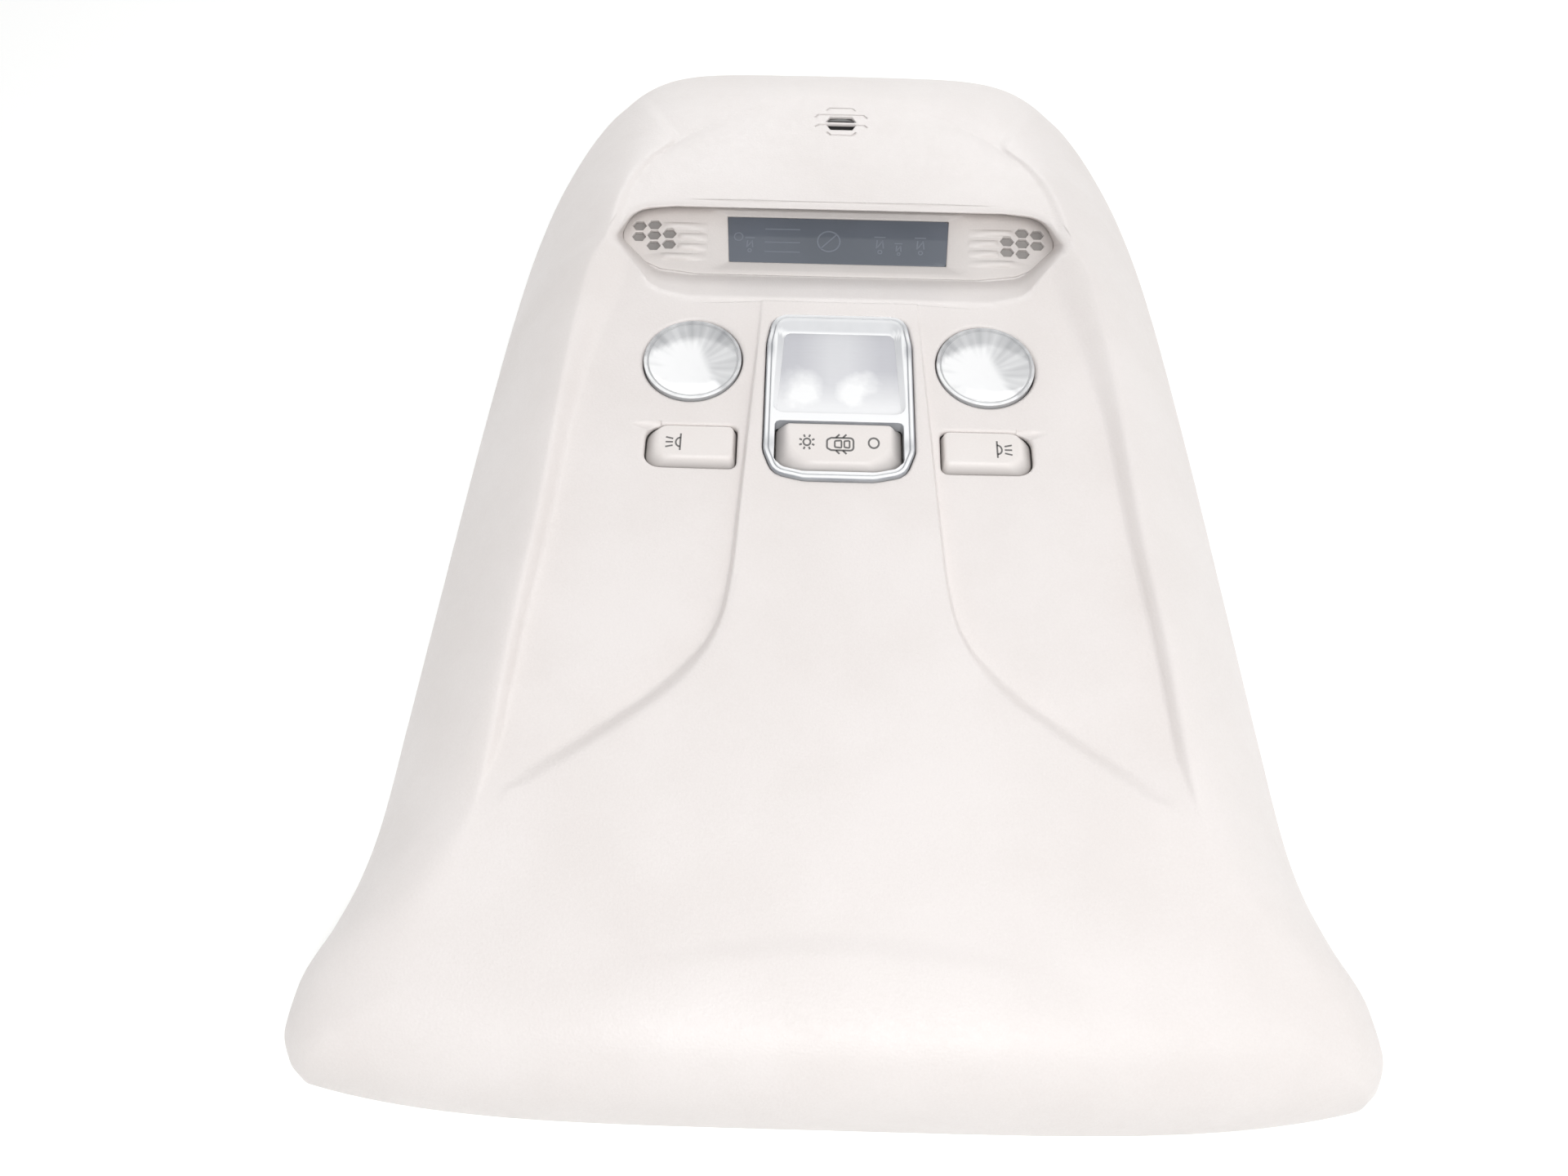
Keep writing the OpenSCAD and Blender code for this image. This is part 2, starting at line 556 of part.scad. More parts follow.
module bulb() {
    translate([lens_x, lens_y, board_top + holder_h]) {
        cylinder(h = 8, r = 4.6);
        translate([0, 0, 8]) sphere(4.6);
    }
}
module right_bulb() {
    color([0.9, 0.92, 0.95]) bulb();
}
module left_bulb() {
    color([0.9, 0.92, 0.95]) mirror([1, 0, 0]) bulb();
}
module holder() {
    translate([lens_x, lens_y, board_top]) {
        cylinder(h = holder_h, r = 5.2);
        cylinder(h = 1.6, r = 8);
    }
}
module right_bulb_holder() {
    color(black_c) holder();
}
module left_bulb_holder() {
    color(black_c) mirror([1, 0, 0]) holder();
}
tact_h = 3.5;
stem_z = board_top + tact_h + key_travel + 0.3;
module button() {
    difference() {
        union() {
            hull() {
                translate([0, 0, deck_top + key_travel + 0.8])
                    linear_extrude(key_top - 2.2 - (deck_top + key_travel + 0.8)) key_2d(0);
                translate([0, 0, key_top - 0.1]) linear_extrude(0.1) key_face_2d();
            }
        }
        translate([0, 0, deck_top]) linear_extrude(key_top - 3.6 - deck_top) key_2d(-1.4);
    }
    translate([key_x, key_y, stem_z]) cylinder(h = key_top - 3 - stem_z, r = 2.2);
}
module right_button() {
    color(shell_c) button();
}
module left_button() {
    color(shell_c) mirror([1, 0, 0]) button();
}
module key_switch() {
    box(key_x - 4, key_x + 4, key_y - 4, key_y + 4, board_top, board_top + tact_h);
}
module right_key_switch() {
    color(black_c) key_switch();
}
module left_key_switch() {
    color(black_c) mirror([1, 0, 0]) key_switch();
}
brd_x = 60;
module circuit_board() {
    color(board_c) difference() {
        box(-brd_x, brd_x, house_y0 + 3, house_y1 - 4, board_z, board_top);
        for (x = [-20, 20]) translate([x, 30, 0]) cylinder(h = 20, r = 1.6);
    }
}
sock_x = 13;
sock_z = board_top;
sock_h = 10;
sock_y0 = house_y0 - 1.5;
sock_y1 = house_y0 + 13;
module connector_socket() {
    color(black_c) difference() {
        box(-sock_x, sock_x, sock_y0, sock_y1, sock_z, sock_z + sock_h);
        box(-sock_x + 1.5, sock_x - 1.5, sock_y0 - 1, sock_y1 - 3, sock_z + 1.5, sock_z + sock_h - 1.5);
    }
    color(steel_c) for (x = [-9 : 3 : 9])
        box(x - 0.4, x + 0.4, sock_y0 + 4, sock_y1 - 2.5, sock_z + 4.6, sock_z + 5.4);
}
module lamp_housing() {
    color([0.75, 0.74, 0.72]) difference() {
        union() {
            difference() {
                box(-house_x, house_x, house_y0, house_y1, cover_z + cover_t, deck_top);
                box(-house_x + house_wall, house_x - house_wall, house_y0 + house_wall,
                    house_y1 - house_wall, 0, deck_z);
            }
            for (x = [-screw_x, screw_x], y = screw_y) translate([x, y, cover_z + cover_t])
                cylinder(h = deck_top - cover_z - cover_t, r = tower_r);
            // ledges that the board rests on
            for (y = [house_y0 + 1, house_y1 - 5]) for (x = [-50, 30])
                box(x, x + 20, y, y + 4, cover_z + cover_t, board_z);
            // posts that carry the rocker
            for (y = [rock_y0 - 2.3, rock_y1 + 0.6])
                box(-3.4, 3.4, y, y + 1.7, deck_z, pin_z + 2.4);
            // ears with the bolt holes
            both() for (v = [-1, 1]) translate([0, ear_y + v * bolt_y / 2, cover_z + cover_t]) {
                translate([bolt_x / 2, 0, 0]) cylinder(h = ear_t, r = bolt_r + 3);
                box(house_x - 1, bolt_x / 2, -bolt_r - 3, bolt_r + 3, 0, ear_t);
            }
        }
        both() {
            translate([lens_x, lens_y, deck_z - 1]) cylinder(h = 4, r = lens_r + 0.1, $fn = 72);
            translate([key_x, key_y, deck_z - 1]) cylinder(h = 4, r = 3.2);
        }
        box(-tray_x - 1, tray_x + 1, dome_y0 - 1.2, dome_y1 + 2.4, deck_z - 1, deck_top + 1);
        box(-2.6, 2.6, rock_y - 2.1, rock_y + 2.1, deck_z - 1, deck_top + 1);
        for (x = [-screw_x, screw_x], y = screw_y) {
            translate([x, y, 0]) cylinder(h = 30, r = screw_r + 0.3);
            translate([x, y, 0]) cylinder(h = deck_z - 3, r = 3.3);
        }
        box(-sock_x - 0.4, sock_x + 0.4, house_y0 - 1, house_y0 + house_wall + 1, cover_z + cover_t - 1,
            sock_z + sock_h + 0.4);
        for (y = [rock_y0 - 3, rock_y1 - 0.2]) translate([0, y, pin_z]) rotate([-90, 0, 0])
            cylinder(h = 3.2, r = pin_r + 0.1);
        both() for (v = [-1, 1]) translate([bolt_x / 2, ear_y + v * bolt_y / 2, 0])
            cylinder(h = 20, r = bolt_r);
    }
}
ear_y = (house_y0 + house_y1) / 2;
module rear_cover() {
    color([0.75, 0.74, 0.72]) difference() {
        box(-house_x, house_x, house_y0, house_y1, cover_z, cover_z + cover_t);
        for (x = [-screw_x, screw_x], y = screw_y) translate([x, y, 0]) cylinder(h = 20, r = 3.3);
        for (x = [-30 : 12 : 30]) box(x - 2.5, x + 2.5, 12, 36, 0, 20);
    }
}
module housing_screws() {
    color(steel_c) for (x = [-screw_x, screw_x], y = screw_y) translate([x, y, 0]) difference() {
        union() {
            translate([0, 0, deck_z - 3]) cylinder(h = 11, r = screw_r);
            translate([0, 0, deck_z - 5]) cylinder(h = 2, r = 3);
        }
        translate([0, 0, deck_z - 6]) cylinder(h = 2, d = 2.4, $fn = 6);
    }
}
// A sheet-steel clip that straddles a blade, with sprung cheeks
module clip(p) {
    h = blade_t / 2 + 0.1;
    translate([p[0] - 6, p[1], 1]) rotate([90, 0, 90]) linear_extrude(12) polygon([
        [-h, 1.8], [h, 1.8], [h, 14], [h + clip_t, 14], [h + 3.6, 8], [h + 1.2, 2], [h + clip_t, 1],
        [-h - clip_t, 1], [-h - 1.2, 2], [-h - 3.6, 8], [-h - clip_t, 14], [-h, 14]]);
}
module roof_clips() {
    color(steel_c) for (p = clip_at) clip(p);
}

console_shell();
display_bezel();
display_window();
display_housing();
display_board();
left_microphone();
right_microphone();
sensor_module();
dome_lens();
dome_diffuser();
dome_reflector();
dome_bulb();
bulb_contacts();
dome_switch();
dome_contact_switch();
left_map_lens();
right_map_lens();
left_reflector();
right_reflector();
left_bulb();
right_bulb();
left_bulb_holder();
right_bulb_holder();
left_button();
right_button();
left_key_switch();
right_key_switch();
circuit_board();
connector_socket();
lamp_housing();
rear_cover();
housing_screws();
roof_clips();
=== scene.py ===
"""Looks of the car dome light: a pale moulded roof console with its lamps, keys, rocker and display.

Lengths below are in millimetres in the part's frame and are turned into metres where a mesh is made.
The console lies on its rim: +X across, +Y towards the narrow windscreen end, +Z out of the visible face.
"""

import json
import math

import bmesh
import bpy
import numpy as np
from mathutils import Matrix, Vector

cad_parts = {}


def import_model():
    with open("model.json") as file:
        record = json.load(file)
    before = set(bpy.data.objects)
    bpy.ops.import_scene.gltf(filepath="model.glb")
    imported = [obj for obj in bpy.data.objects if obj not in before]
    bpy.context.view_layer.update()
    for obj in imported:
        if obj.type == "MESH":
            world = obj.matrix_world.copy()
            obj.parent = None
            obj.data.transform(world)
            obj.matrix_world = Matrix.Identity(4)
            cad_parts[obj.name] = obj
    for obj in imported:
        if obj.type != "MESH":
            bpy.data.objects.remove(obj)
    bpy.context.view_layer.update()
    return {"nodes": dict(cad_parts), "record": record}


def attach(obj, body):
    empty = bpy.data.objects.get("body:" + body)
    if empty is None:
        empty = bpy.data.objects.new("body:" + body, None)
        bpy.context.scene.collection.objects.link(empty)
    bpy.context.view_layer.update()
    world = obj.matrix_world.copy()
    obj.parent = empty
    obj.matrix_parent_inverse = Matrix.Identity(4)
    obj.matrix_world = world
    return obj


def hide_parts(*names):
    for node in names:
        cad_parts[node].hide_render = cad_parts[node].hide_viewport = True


MM = 0.001
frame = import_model()
MATERIALS = {}
TAU = 2 * math.pi
FRAME_TOP, LENS_TOP, KEY_TOP = 37.8626, 34.8176, 34.8292


def into_scene(name, data):
    """A new object of the scene with this data."""
    obj = bpy.data.objects.new(name, data)
    bpy.context.scene.collection.objects.link(obj)
    return obj


# ---- node trees
class Nodes:
    """A cleared node tree with short ways to add, set and link its nodes."""

    def __init__(self, owner, output):
        owner.use_nodes = True
        self.nt = owner.node_tree
        self.nt.nodes.clear()
        self.out = self.add(output)

    def add(self, kind, **values):
        node = self.nt.nodes.new("ShaderNode" + kind)
        for key, value in values.items():
            if key in node.inputs:
                node.inputs[key].default_value = value
            else:
                setattr(node, key, value)
        return node

    def link(self, a, b):
        self.nt.links.new(a, b)

    def feed(self, node, *values):
        """Gives a node's inputs, in their order, a link or a constant each."""
        for socket, value in zip(node.inputs, values):
            if isinstance(value, bpy.types.NodeSocket):
                self.link(value, socket)
            else:
                socket.default_value = value
        return node

    def math(self, op, a, b=0.0):
        return self.feed(self.add("Math", operation=op), a, b).outputs[0]

    def vector(self, op, a, b=(0, 0, 0), output="Value"):
        return self.feed(self.add("VectorMath", operation=op), a, b).outputs[output]

    def spread(self, value, low, high, from_low=0.3, from_high=0.7):
        """Carries the span from_low..from_high of a value over to low..high."""
        return self.feed(self.add("MapRange"), value, from_low, from_high, low, high).outputs["Result"]

    def direct_ray(self):
        """One for a ray seen straight, mirrored or through clear plastic, zero for plain light."""
        path = self.add("LightPath").outputs
        seen = self.math("MAXIMUM", path["Is Camera Ray"], path["Is Glossy Ray"])
        return self.math("MAXIMUM", seen, path["Is Transmission Ray"])


# ---- camera, lamps and floor (metres)
CAMERA_LENS, CAMERA_PLACE = 27.19, (-0.01472, -0.2312, 0.35273)
CAMERA_TURN = (("X", 28), ("Y", 0.28), ("Z", 1.46))
ZENITH_LIGHT = 0.295
SIDE_LIGHT = (((1, 0, 0), 1.0), ((-1, 0, 0), 1.45), ((0, 1, 0), 0.42))
LOW_SKY = 0.8  # height in the unit sky below which the side light fades in
FLOOR_HALF, FLOOR_Z, FLOOR_GLOW = 4.0, -0.0004, 0.22
GLOW_NEAR, GLOW_FAR = 0.45, 1.6  # distances over which the floor turns plain white
LAMP_AIM = (0, 0, 0.02)
LAMPS = (
    ("overhead", (0.10, -0.10, 1.15), (0.9, 0.45), 1.2),
    ("near_side", (0.10, -0.65, 1.0), (0.9, 0.6), 9.8),
    ("right_side", (0.95, 0.10, 0.7), (0.7, 0.9), 2.0),
    ("far_side", (0.0, 1.25, 0.38), (1.0, 0.4), 4.6),
)


def camera():
    """The photograph's viewpoint, above the wide end and looking down towards the narrow one."""
    data = bpy.data.cameras.new("camera")
    data.sensor_width, data.lens = 36, CAMERA_LENS
    data.clip_start, data.clip_end = 0.01, 20
    stand = Matrix.Translation(CAMERA_PLACE)
    for axis, degrees in CAMERA_TURN:
        stand = stand @ Matrix.Rotation(math.radians(degrees), 4, axis)
    cam = into_scene("camera", data)
    cam.matrix_world = stand
    bpy.context.scene.camera = cam


def lamp(name, location, size, watts):
    data = bpy.data.lights.new(name, "AREA")
    data.shape = "RECTANGLE"
    data.size, data.size_y = size
    data.energy = watts
    obj = into_scene(name, data)
    obj.location = location
    aim = Vector(LAMP_AIM) - Vector(location)
    obj.rotation_euler = aim.to_track_quat("-Z", "Y").to_euler()


def world():
    """Soft white surroundings: plain light on the object, full white where a ray meets them unhindered."""
    sky = bpy.data.worlds.new("studio")
    bpy.context.scene.world = sky
    f = Nodes(sky, "OutputWorld")
    look = f.add("TexCoord").outputs["Generated"]
    up = f.vector("DOT_PRODUCT", look, (0, 0, 1))
    low = f.math("MAXIMUM", f.math("SUBTRACT", 1.0, f.math("DIVIDE", up, LOW_SKY)), 0.0)
    total = f.math("MULTIPLY", f.math("SUBTRACT", 1.0, low), ZENITH_LIGHT)
    for side, strength in SIDE_LIGHT:
        facing = f.math("MAXIMUM", f.vector("DOT_PRODUCT", look, side), 0.0)
        total = f.math("ADD", total, f.math("MULTIPLY", f.math("MULTIPLY", facing, low), strength))
    plain = f.add("Background", Color=(0.97, 0.985, 1.0, 1))
    f.link(total, plain.inputs["Strength"])
    white = f.add("Background", Color=(1, 1, 1, 1), Strength=1.0)
    mix = f.feed(f.add("MixShader"), f.direct_ray(), plain.outputs[0], white.outputs[0])
    f.link(mix.outputs[0], f.out.inputs["Surface"])


def floor():
    """A plain pale floor at the rim's level. It keeps the shadow and reads as white to a direct ray."""
    s = FLOOR_HALF
    mesh = bpy.data.meshes.new("floor")
    mesh.from_pydata([(-s, -s, 0), (s, -s, 0), (s, s, 0), (-s, s, 0)], [], [(0, 1, 2, 3)])
    obj = into_scene("floor", mesh)
    obj.location = (0, 0, FLOOR_Z)
    mat = bpy.data.materials.new("pale_floor")
    f = Nodes(mat, "OutputMaterial")
    away = f.vector("LENGTH", f.add("TexCoord").outputs["Object"])
    reach = f.spread(away, FLOOR_GLOW, 1.0, GLOW_NEAR, GLOW_FAR)
    glow = f.add("Emission", Color=(1.0, 0.997, 0.985, 1))
    f.link(f.math("MULTIPLY", f.direct_ray(), reach), glow.inputs["Strength"])
    pale = f.add("BsdfDiffuse", Color=(0.84, 0.84, 0.83, 1))
    total = f.feed(f.add("AddShader"), pale.outputs[0], glow.outputs[0])
    f.link(total.outputs[0], f.out.inputs["Surface"])
    mesh.materials.append(mat)


camera()
world()
floor()
for item in LAMPS:
    lamp(*item)
bpy.context.scene.view_settings.view_transform = "Standard"


# ---- finishes
class Finish(Nodes):
    """A Principled material, kept by its name in MATERIALS."""

    def __init__(self, name):
        mat = bpy.data.materials.new(name)
        super().__init__(mat, "OutputMaterial")
        self.shader = self.add("BsdfPrincipled")
        self.link(self.shader.outputs[0], self.out.inputs["Surface"])
        self.coord = self.add("TexCoord").outputs["Object"]
        MATERIALS[name] = mat

    def set(self, **values):
        for key, value in values.items():
            self.shader.inputs[key.replace("_", " ")].default_value = value

    def texture(self, kind, output, **values):
        """A texture over the object's own coordinates."""
        node = self.add("Tex" + kind, **values)
        self.link(self.coord, node.inputs["Vector"])
        return node.outputs[output]

    def noise(self, scale, detail):
        return self.texture("Noise", "Fac", Scale=scale, Detail=detail, Roughness=0.55)

    # Reads the share of painted shade stored on a mesh's corners.
    def painted_shade_share(self):
        return self.add("Attribute", attribute_name="painted_shade").outputs["Fac"]

    def tint(self, share, first, second):
        """Base colour between two colours; the first may be the output of another node."""
        node = self.add("Mix", data_type="RGBA")
        for index, value in ((0, share), (6, first), (7, second)):
            if isinstance(value, bpy.types.NodeSocket):
                self.link(value, node.inputs[index])
            else:
                node.inputs[index].default_value = (*value, 1)
        self.link(node.outputs[2], self.shader.inputs["Base Color"])
        return node.outputs[2]

    def clouds(self, scale, detail, first, second):
        """Base colour that drifts between two close colours."""
        self.tint(self.spread(self.noise(scale, detail), 0, 1), first, second)

    def gloss(self, value, low, high):
        self.link(self.spread(value, low, high), self.shader.inputs["Roughness"])

    def bump(self, height, strength, distance, edge=0.0):
        """Fine relief; an edge radius in mm also softens the sharp edges."""
        node = self.add("Bump", Strength=strength, Distance=distance)
        self.link(height, node.inputs["Height"])
        if edge:
            soft = self.add("Bevel", samples=6, Radius=edge * MM)
            self.link(soft.outputs["Normal"], node.inputs["Normal"])
        self.link(node.outputs["Normal"], self.shader.inputs["Normal"])


def moulded(name, light, dark, grain, rough, edge, low=None):
    """Grained moulded plastic: fine pebbled texture, faint clouding, uneven gloss, and painted shade on sunk
    sides where a low colour is given.
    """
    f = Finish(name)
    f.set(IOR=1.5, Roughness=rough)
    fine = f.noise(1500, 2)
    cloud = f.math("ADD", f.math("MULTIPLY", f.noise(22, 3), 0.7), f.math("MULTIPLY", fine, 0.3))
    colour = f.tint(f.spread(cloud, 0, 1, 0.38, 0.62), dark, light)
    # painted shade: the low colour, by the stored share, darkens the sunk sides
    if low:
        f.tint(f.painted_shade_share(), colour, low)
    f.gloss(f.noise(420, 3), rough - 0.05, rough + 0.06)
    pebble = f.texture("Voronoi", "Distance", Scale=1150)
    height = f.math("ADD", f.math("MULTIPLY", pebble, 0.7), f.math("MULTIPLY", fine, 0.6))
    f.bump(height, grain, 0.0003, edge)


def plain_plastic(name, light, dark, rough=0.45, scale=900, grain=0.08, edge=0.0):
    """Smooth plastic, ink or cloth of one colour."""
    f = Finish(name)
    f.set(IOR=1.5)
    f.clouds(40, 2, dark, light)
    fine = f.noise(scale, 2)
    f.gloss(fine, rough - 0.06, rough + 0.08)
    f.bump(fine, grain, 0.0002, edge)


def srgb(r, g, b):
    return tuple(v / 12.92 if v <= 0.04045 else ((v + 0.055) / 1.055) ** 2.4 for v in (r, g, b))


moulded("shell_plastic", srgb(0.882, 0.860, 0.850), srgb(0.862, 0.838, 0.826), 0.22, 0.46, 0.8)
moulded("bezel_plastic", srgb(0.835, 0.814, 0.802), srgb(0.815, 0.794, 0.782), 0.12, 0.48, 0.4)
# the key plastic's last colour is painted shade for the caps' sunk sides
moulded("key_plastic", srgb(0.886, 0.864, 0.852), srgb(0.870, 0.846, 0.832), 0.07, 0.42, 0.35,
        srgb(0.64, 0.622, 0.612))
plain_plastic("housing_plastic", srgb(0.80, 0.79, 0.77), srgb(0.77, 0.76, 0.74), edge=0.4)
plain_plastic("black_plastic", (0.022, 0.022, 0.024), (0.015, 0.015, 0.016), 0.42, edge=0.3)
plain_plastic("icon_ink", (0.15, 0.145, 0.14), (0.125, 0.12, 0.117), 0.5)


def smoked():
    f = Finish("smoked_window")
    f.set(IOR=1.5, Roughness=0.1)
    f.clouds(30, 2, srgb(0.352, 0.373, 0.405), srgb(0.372, 0.394, 0.43))
    f.gloss(f.noise(260, 3), 0.07, 0.15)
    f.bump(f.noise(70, 1), 0.02, 0.0005)


def clear(name, rough, tint, edge, ripple, through, wall=None):
    """Clear or milky plastic; where a wall colour is given, the stored share of painted shade leads over to
    that colour.
    """
    f = Finish(name)
    f.set(IOR=1.49, Base_Color=(*tint, 1), Transmission_Weight=through)
    if wall:
        # painted shade: the wall colour, by the stored share with a little noise
        cloud = f.math("MULTIPLY", f.math("SUBTRACT", f.noise(90, 3), 0.5), 0.5)
        share = f.painted_shade_share()
        f.tint(f.math("ADD", share, f.math("MULTIPLY", cloud, share)), tint, wall)
    f.gloss(f.noise(300, 2), rough - 0.01, rough + 0.02)
    if ripple:
        f.bump(f.noise(160, 1), ripple, 0.0004, edge)


# painted reflection of the two lamp bowls on the dome window: centre and reach of each patch
PAINTED_BOWL_GLINTS = (((-0.0115, 0.0100), 0.0105), ((0.0050, 0.0110), 0.0098))  # centre and reach, in metres


def prism_window():
    """The dome lens's window: fine moulded prisms; painted highlight and painted reflection make it whiter
    towards the rocker and over the two lamp bowls, painted shade greyer elsewhere.
    """
    f = Finish("prism_window")
    f.set(IOR=1.49, Transmission_Weight=0.14, Roughness=0.16)
    ragged = f.math("MULTIPLY", f.math("SUBTRACT", f.noise(90, 5), 0.5), 0.012)
    near = []
    for centre, reach in PAINTED_BOWL_GLINTS:
        offset = f.vector("SUBTRACT", f.coord, (*centre, FRAME_TOP * MM), "Vector")
        away = f.math("ADD", f.vector("LENGTH", offset), ragged)
        near.append(f.spread(away, 1.0, 0.0, reach * 0.45, reach * 1.15))
    split = f.feed(f.add("SeparateXYZ"), f.coord).outputs
    rear = f.spread(split["Y"], 0.75, 0.0, 0.006, 0.021)
    middle = f.spread(f.math("ABSOLUTE", split["X"]), 0.35, 0.0, 0.003, 0.014)
    # painted highlight share: the largest of the rocker side, the middle and the two bowl reflections
    painted_highlight = f.math("MAXIMUM", f.math("MAXIMUM", rear, middle), f.math("MAXIMUM", *near))
    f.tint(painted_highlight, srgb(0.80, 0.80, 0.82), (0.99, 0.99, 0.99))
    f.gloss(f.noise(240, 2), 0.12, 0.2)
    prisms = f.texture("Wave", "Fac", wave_type="BANDS", bands_direction="Y", Scale=210.0, Distortion=0.0)
    f.bump(prisms, 0.12, 0.0002)


def mirror_coat():
    f = Finish("bright_metallised")
    f.set(Metallic=1.0)
    f.clouds(60, 2, (0.86, 0.87, 0.89), (0.92, 0.925, 0.93))
    f.gloss(f.noise(500, 3), 0.06, 0.16)
    f.bump(f.noise(220, 1), 0.05, 0.0004)


def steel():
    f = Finish("spring_steel")
    f.set(Metallic=1.0, IOR=2.5)
    f.clouds(90, 3, (0.52, 0.53, 0.55), (0.66, 0.67, 0.69))
    f.gloss(f.noise(700, 3), 0.22, 0.38)
    f.bump(f.noise(1600, 2), 0.06, 0.0002)


def board():
    f = Finish("board")
    f.set(IOR=1.5)
    lanes = f.add("TexBrick", Scale=120.0, Color1=(0.012, 0.16, 0.06, 1), Color2=(0.014, 0.19, 0.07, 1),
                  Mortar=(0.02, 0.26, 0.10, 1))
    f.link(f.coord, lanes.inputs["Vector"])
    f.link(lanes.outputs["Color"], f.shader.inputs["Base Color"])
    f.gloss(f.noise(400, 2), 0.25, 0.4)
    f.bump(lanes.outputs["Fac"], 0.1, 0.0002)


smoked()
prism_window()
# the last colours of clear_lens and reading_lens are their painted shade colours
clear("clear_lens", 0.06, (0.99, 0.99, 0.995), 0.2, 0.05, 0.14, (0.22, 0.235, 0.265))
clear("frosted_plate", 0.32, (0.93, 0.945, 0.965), 0.0, 0.25, 0.6)
clear("bulb_glass", 0.25, (0.98, 0.98, 0.98), 0.0, 0.0, 0.3)
clear("reading_lens", 0.09, (0.99, 0.99, 0.99), 0.0, 0.5, 0.16, (0.30, 0.305, 0.32))
plain_plastic("faint_marks", srgb(0.44, 0.46, 0.50), srgb(0.42, 0.44, 0.475), 0.4)
plain_plastic("acoustic_cloth", srgb(0.61, 0.595, 0.585), srgb(0.54, 0.528, 0.52), 0.85, 2600, 0.4)
mirror_coat()
steel()
board()

for node, obj in frame["nodes"].items():
    slot_name = next(s["material_slot"] for s in frame["record"]["subparts"] if s["node"] == node)
    for s in obj.material_slots:
        s.material = MATERIALS[slot_name]


# ---- lines and outlines
def curve(table, at):
    """A smooth monotone curve through the rows [position, value] of a table."""
    rows = np.array(table, float)
    x, v = rows[:, 0], rows[:, 1]
    slope = np.diff(v) / np.diff(x)
    bend = np.concatenate(([slope[0]], np.zeros(len(x) - 2), [slope[-1]]))
    for k in range(1, len(x) - 1):
        a, b = slope[k - 1], slope[k]
        if a * b > 0:
            bend[k] = 2 * a * b / (a + b)
    at = np.asarray(at, float)
    i = np.clip(np.searchsorted(x, at, side="right") - 1, 0, len(x) - 2)
    h = x[i + 1] - x[i]
    u = np.clip((at - x[i]) / h, 0, 1)
    u2, u3 = u * u, u * u * u
    return (
        (2 * u3 - 3 * u2 + 1) * v[i]
        + (u3 - 2 * u2 + u) * bend[i] * h
        + (3 * u2 - 2 * u3) * v[i + 1]
        + (u3 - u2) * bend[i + 1] * h
    )


def ease(u):
    u = np.clip(u, 0, 1)
    return u * u * (3 - 2 * u)


ROW_LINE = [[0, -195], [9, -158], [13, -134], [27, -72], [38, 52], [41, 90], [50, 174]]
ROW_BOW = [[-195, 10], [-175, 5], [-150, 1], [-120, 0], [60, 0], [90, -6], [130, -17], [174, -33]]
SPINE_Z = [
    [-195, 39.6], [-186, 41.6], [-175, 42.2], [-160, 41.2], [-129, 40.2], [-80, 38.8], [-40, 37.5],
    [-24, 37.1], [0, 37], [45, 36.8], [55, 36.4], [100, 33], [150, 24.8], [174, 19],
]
CREST_X = [
    [-185, 118], [-170, 117], [-150, 107], [-133, 99], [-80, 96.5], [-37, 93.5], [20, 91.5],
    [62, 88], [70, 86], [78, 83], [95, 82], [112, 79.5], [127, 74.5], [141, 66],
]
CREST_Z = [
    [-185, 36.5], [-170, 38], [-150, 39], [-129, 40], [-80, 40.3], [-37, 40], [20, 39.5],
    [70, 38.6], [78, 38], [112, 31.5], [141, 24],
]
EDGE_X = [
    [-195, 40], [-140, 88], [-133, 95], [-127, 83], [-118, 70], [-108, 57], [-98, 46], [-90, 40],
    [-80, 35.5], [-70, 33.2], [-57, 31.8], [-32, 30.6], [3, 28.8], [39, 26.8], [60, 26], [174, 22],
]
EDGE_W = [
    [-195, 20], [-140, 1.5], [-133, 0.6], [-127, 8], [-118, 12], [-108, 12.5], [-98, 11],
    [-90, 8.5], [-80, 4.6], [-70, 2.7], [-40, 1.7], [0, 1.4], [58, 1.3], [90, 8], [174, 8],
]
EDGE_D = [
    [-195, 0], [-133, 0], [-126, 1.5], [-116, 3.6], [-98, 5.4], [-70, 5.2], [-40, 4.4], [0, 3],
    [27, 1.8], [45, 0.8], [58, 0.2], [64, 0], [174, 0],
]
PAD_W = [
    [-195, 15], [-140, 1.5], [-133, 0.6], [-115, 3.2], [-60, 4.2], [-7, 5.2], [33, 9], [60, 13],
    [72, 11.5], [84, 5.5], [95, 4], [174, 4],
]
PAD_D = [
    [-195, 0], [-133, 0], [-124, 1.6], [-108, 3.6], [-80, 4.4], [-40, 4.8], [0, 5], [33, 5.2],
    [55, 5], [66, 4.2], [76, 2.4], [84, 1.9], [92, 1.7], [174, 1.5],
]
RIM_Y = [
    [-185, -202], [-178, -194], [-165, -175], [-150, -155], [-129, -131], [-80, -80], [60, 61],
    [112, 128], [128, 158], [141, 190],
]
RIM_X = [
    [-202, 143], [-198, 147.5], [-190, 150.9], [-179, 150], [-163, 144], [-147, 139.5],
    [-127, 136.5], [-97, 134.5], [-51, 131.5], [14, 127], [86, 120.5], [123, 114.5], [154, 106],
    [178, 96], [190, 88],
]
ROUND_N = [[-185, 1.95], [-165, 1.7], [-129, 1.36], [-80, 1.25], [60, 1.25], [141, 1.22]]


def lines(y, ye):
    """Half widths of the shell's lines at a row: centre, spine edge, wall foot, pad edge, crest."""
    c = curve(CREST_X, ye)
    e = np.minimum(curve(EDGE_X, y), c - 2.4)
    p = c - curve(PAD_W, y)
    f = np.minimum(e + curve(EDGE_W, y), p - 0.4)
    return np.stack([np.zeros_like(c), e, f, p, c])


def band_ends(rows, k):
    """The values of a table's rows at both edges of column band k."""
    return np.take_along_axis(rows, k[None], 0)[0], np.take_along_axis(rows, k[None] + 1, 0)[0]


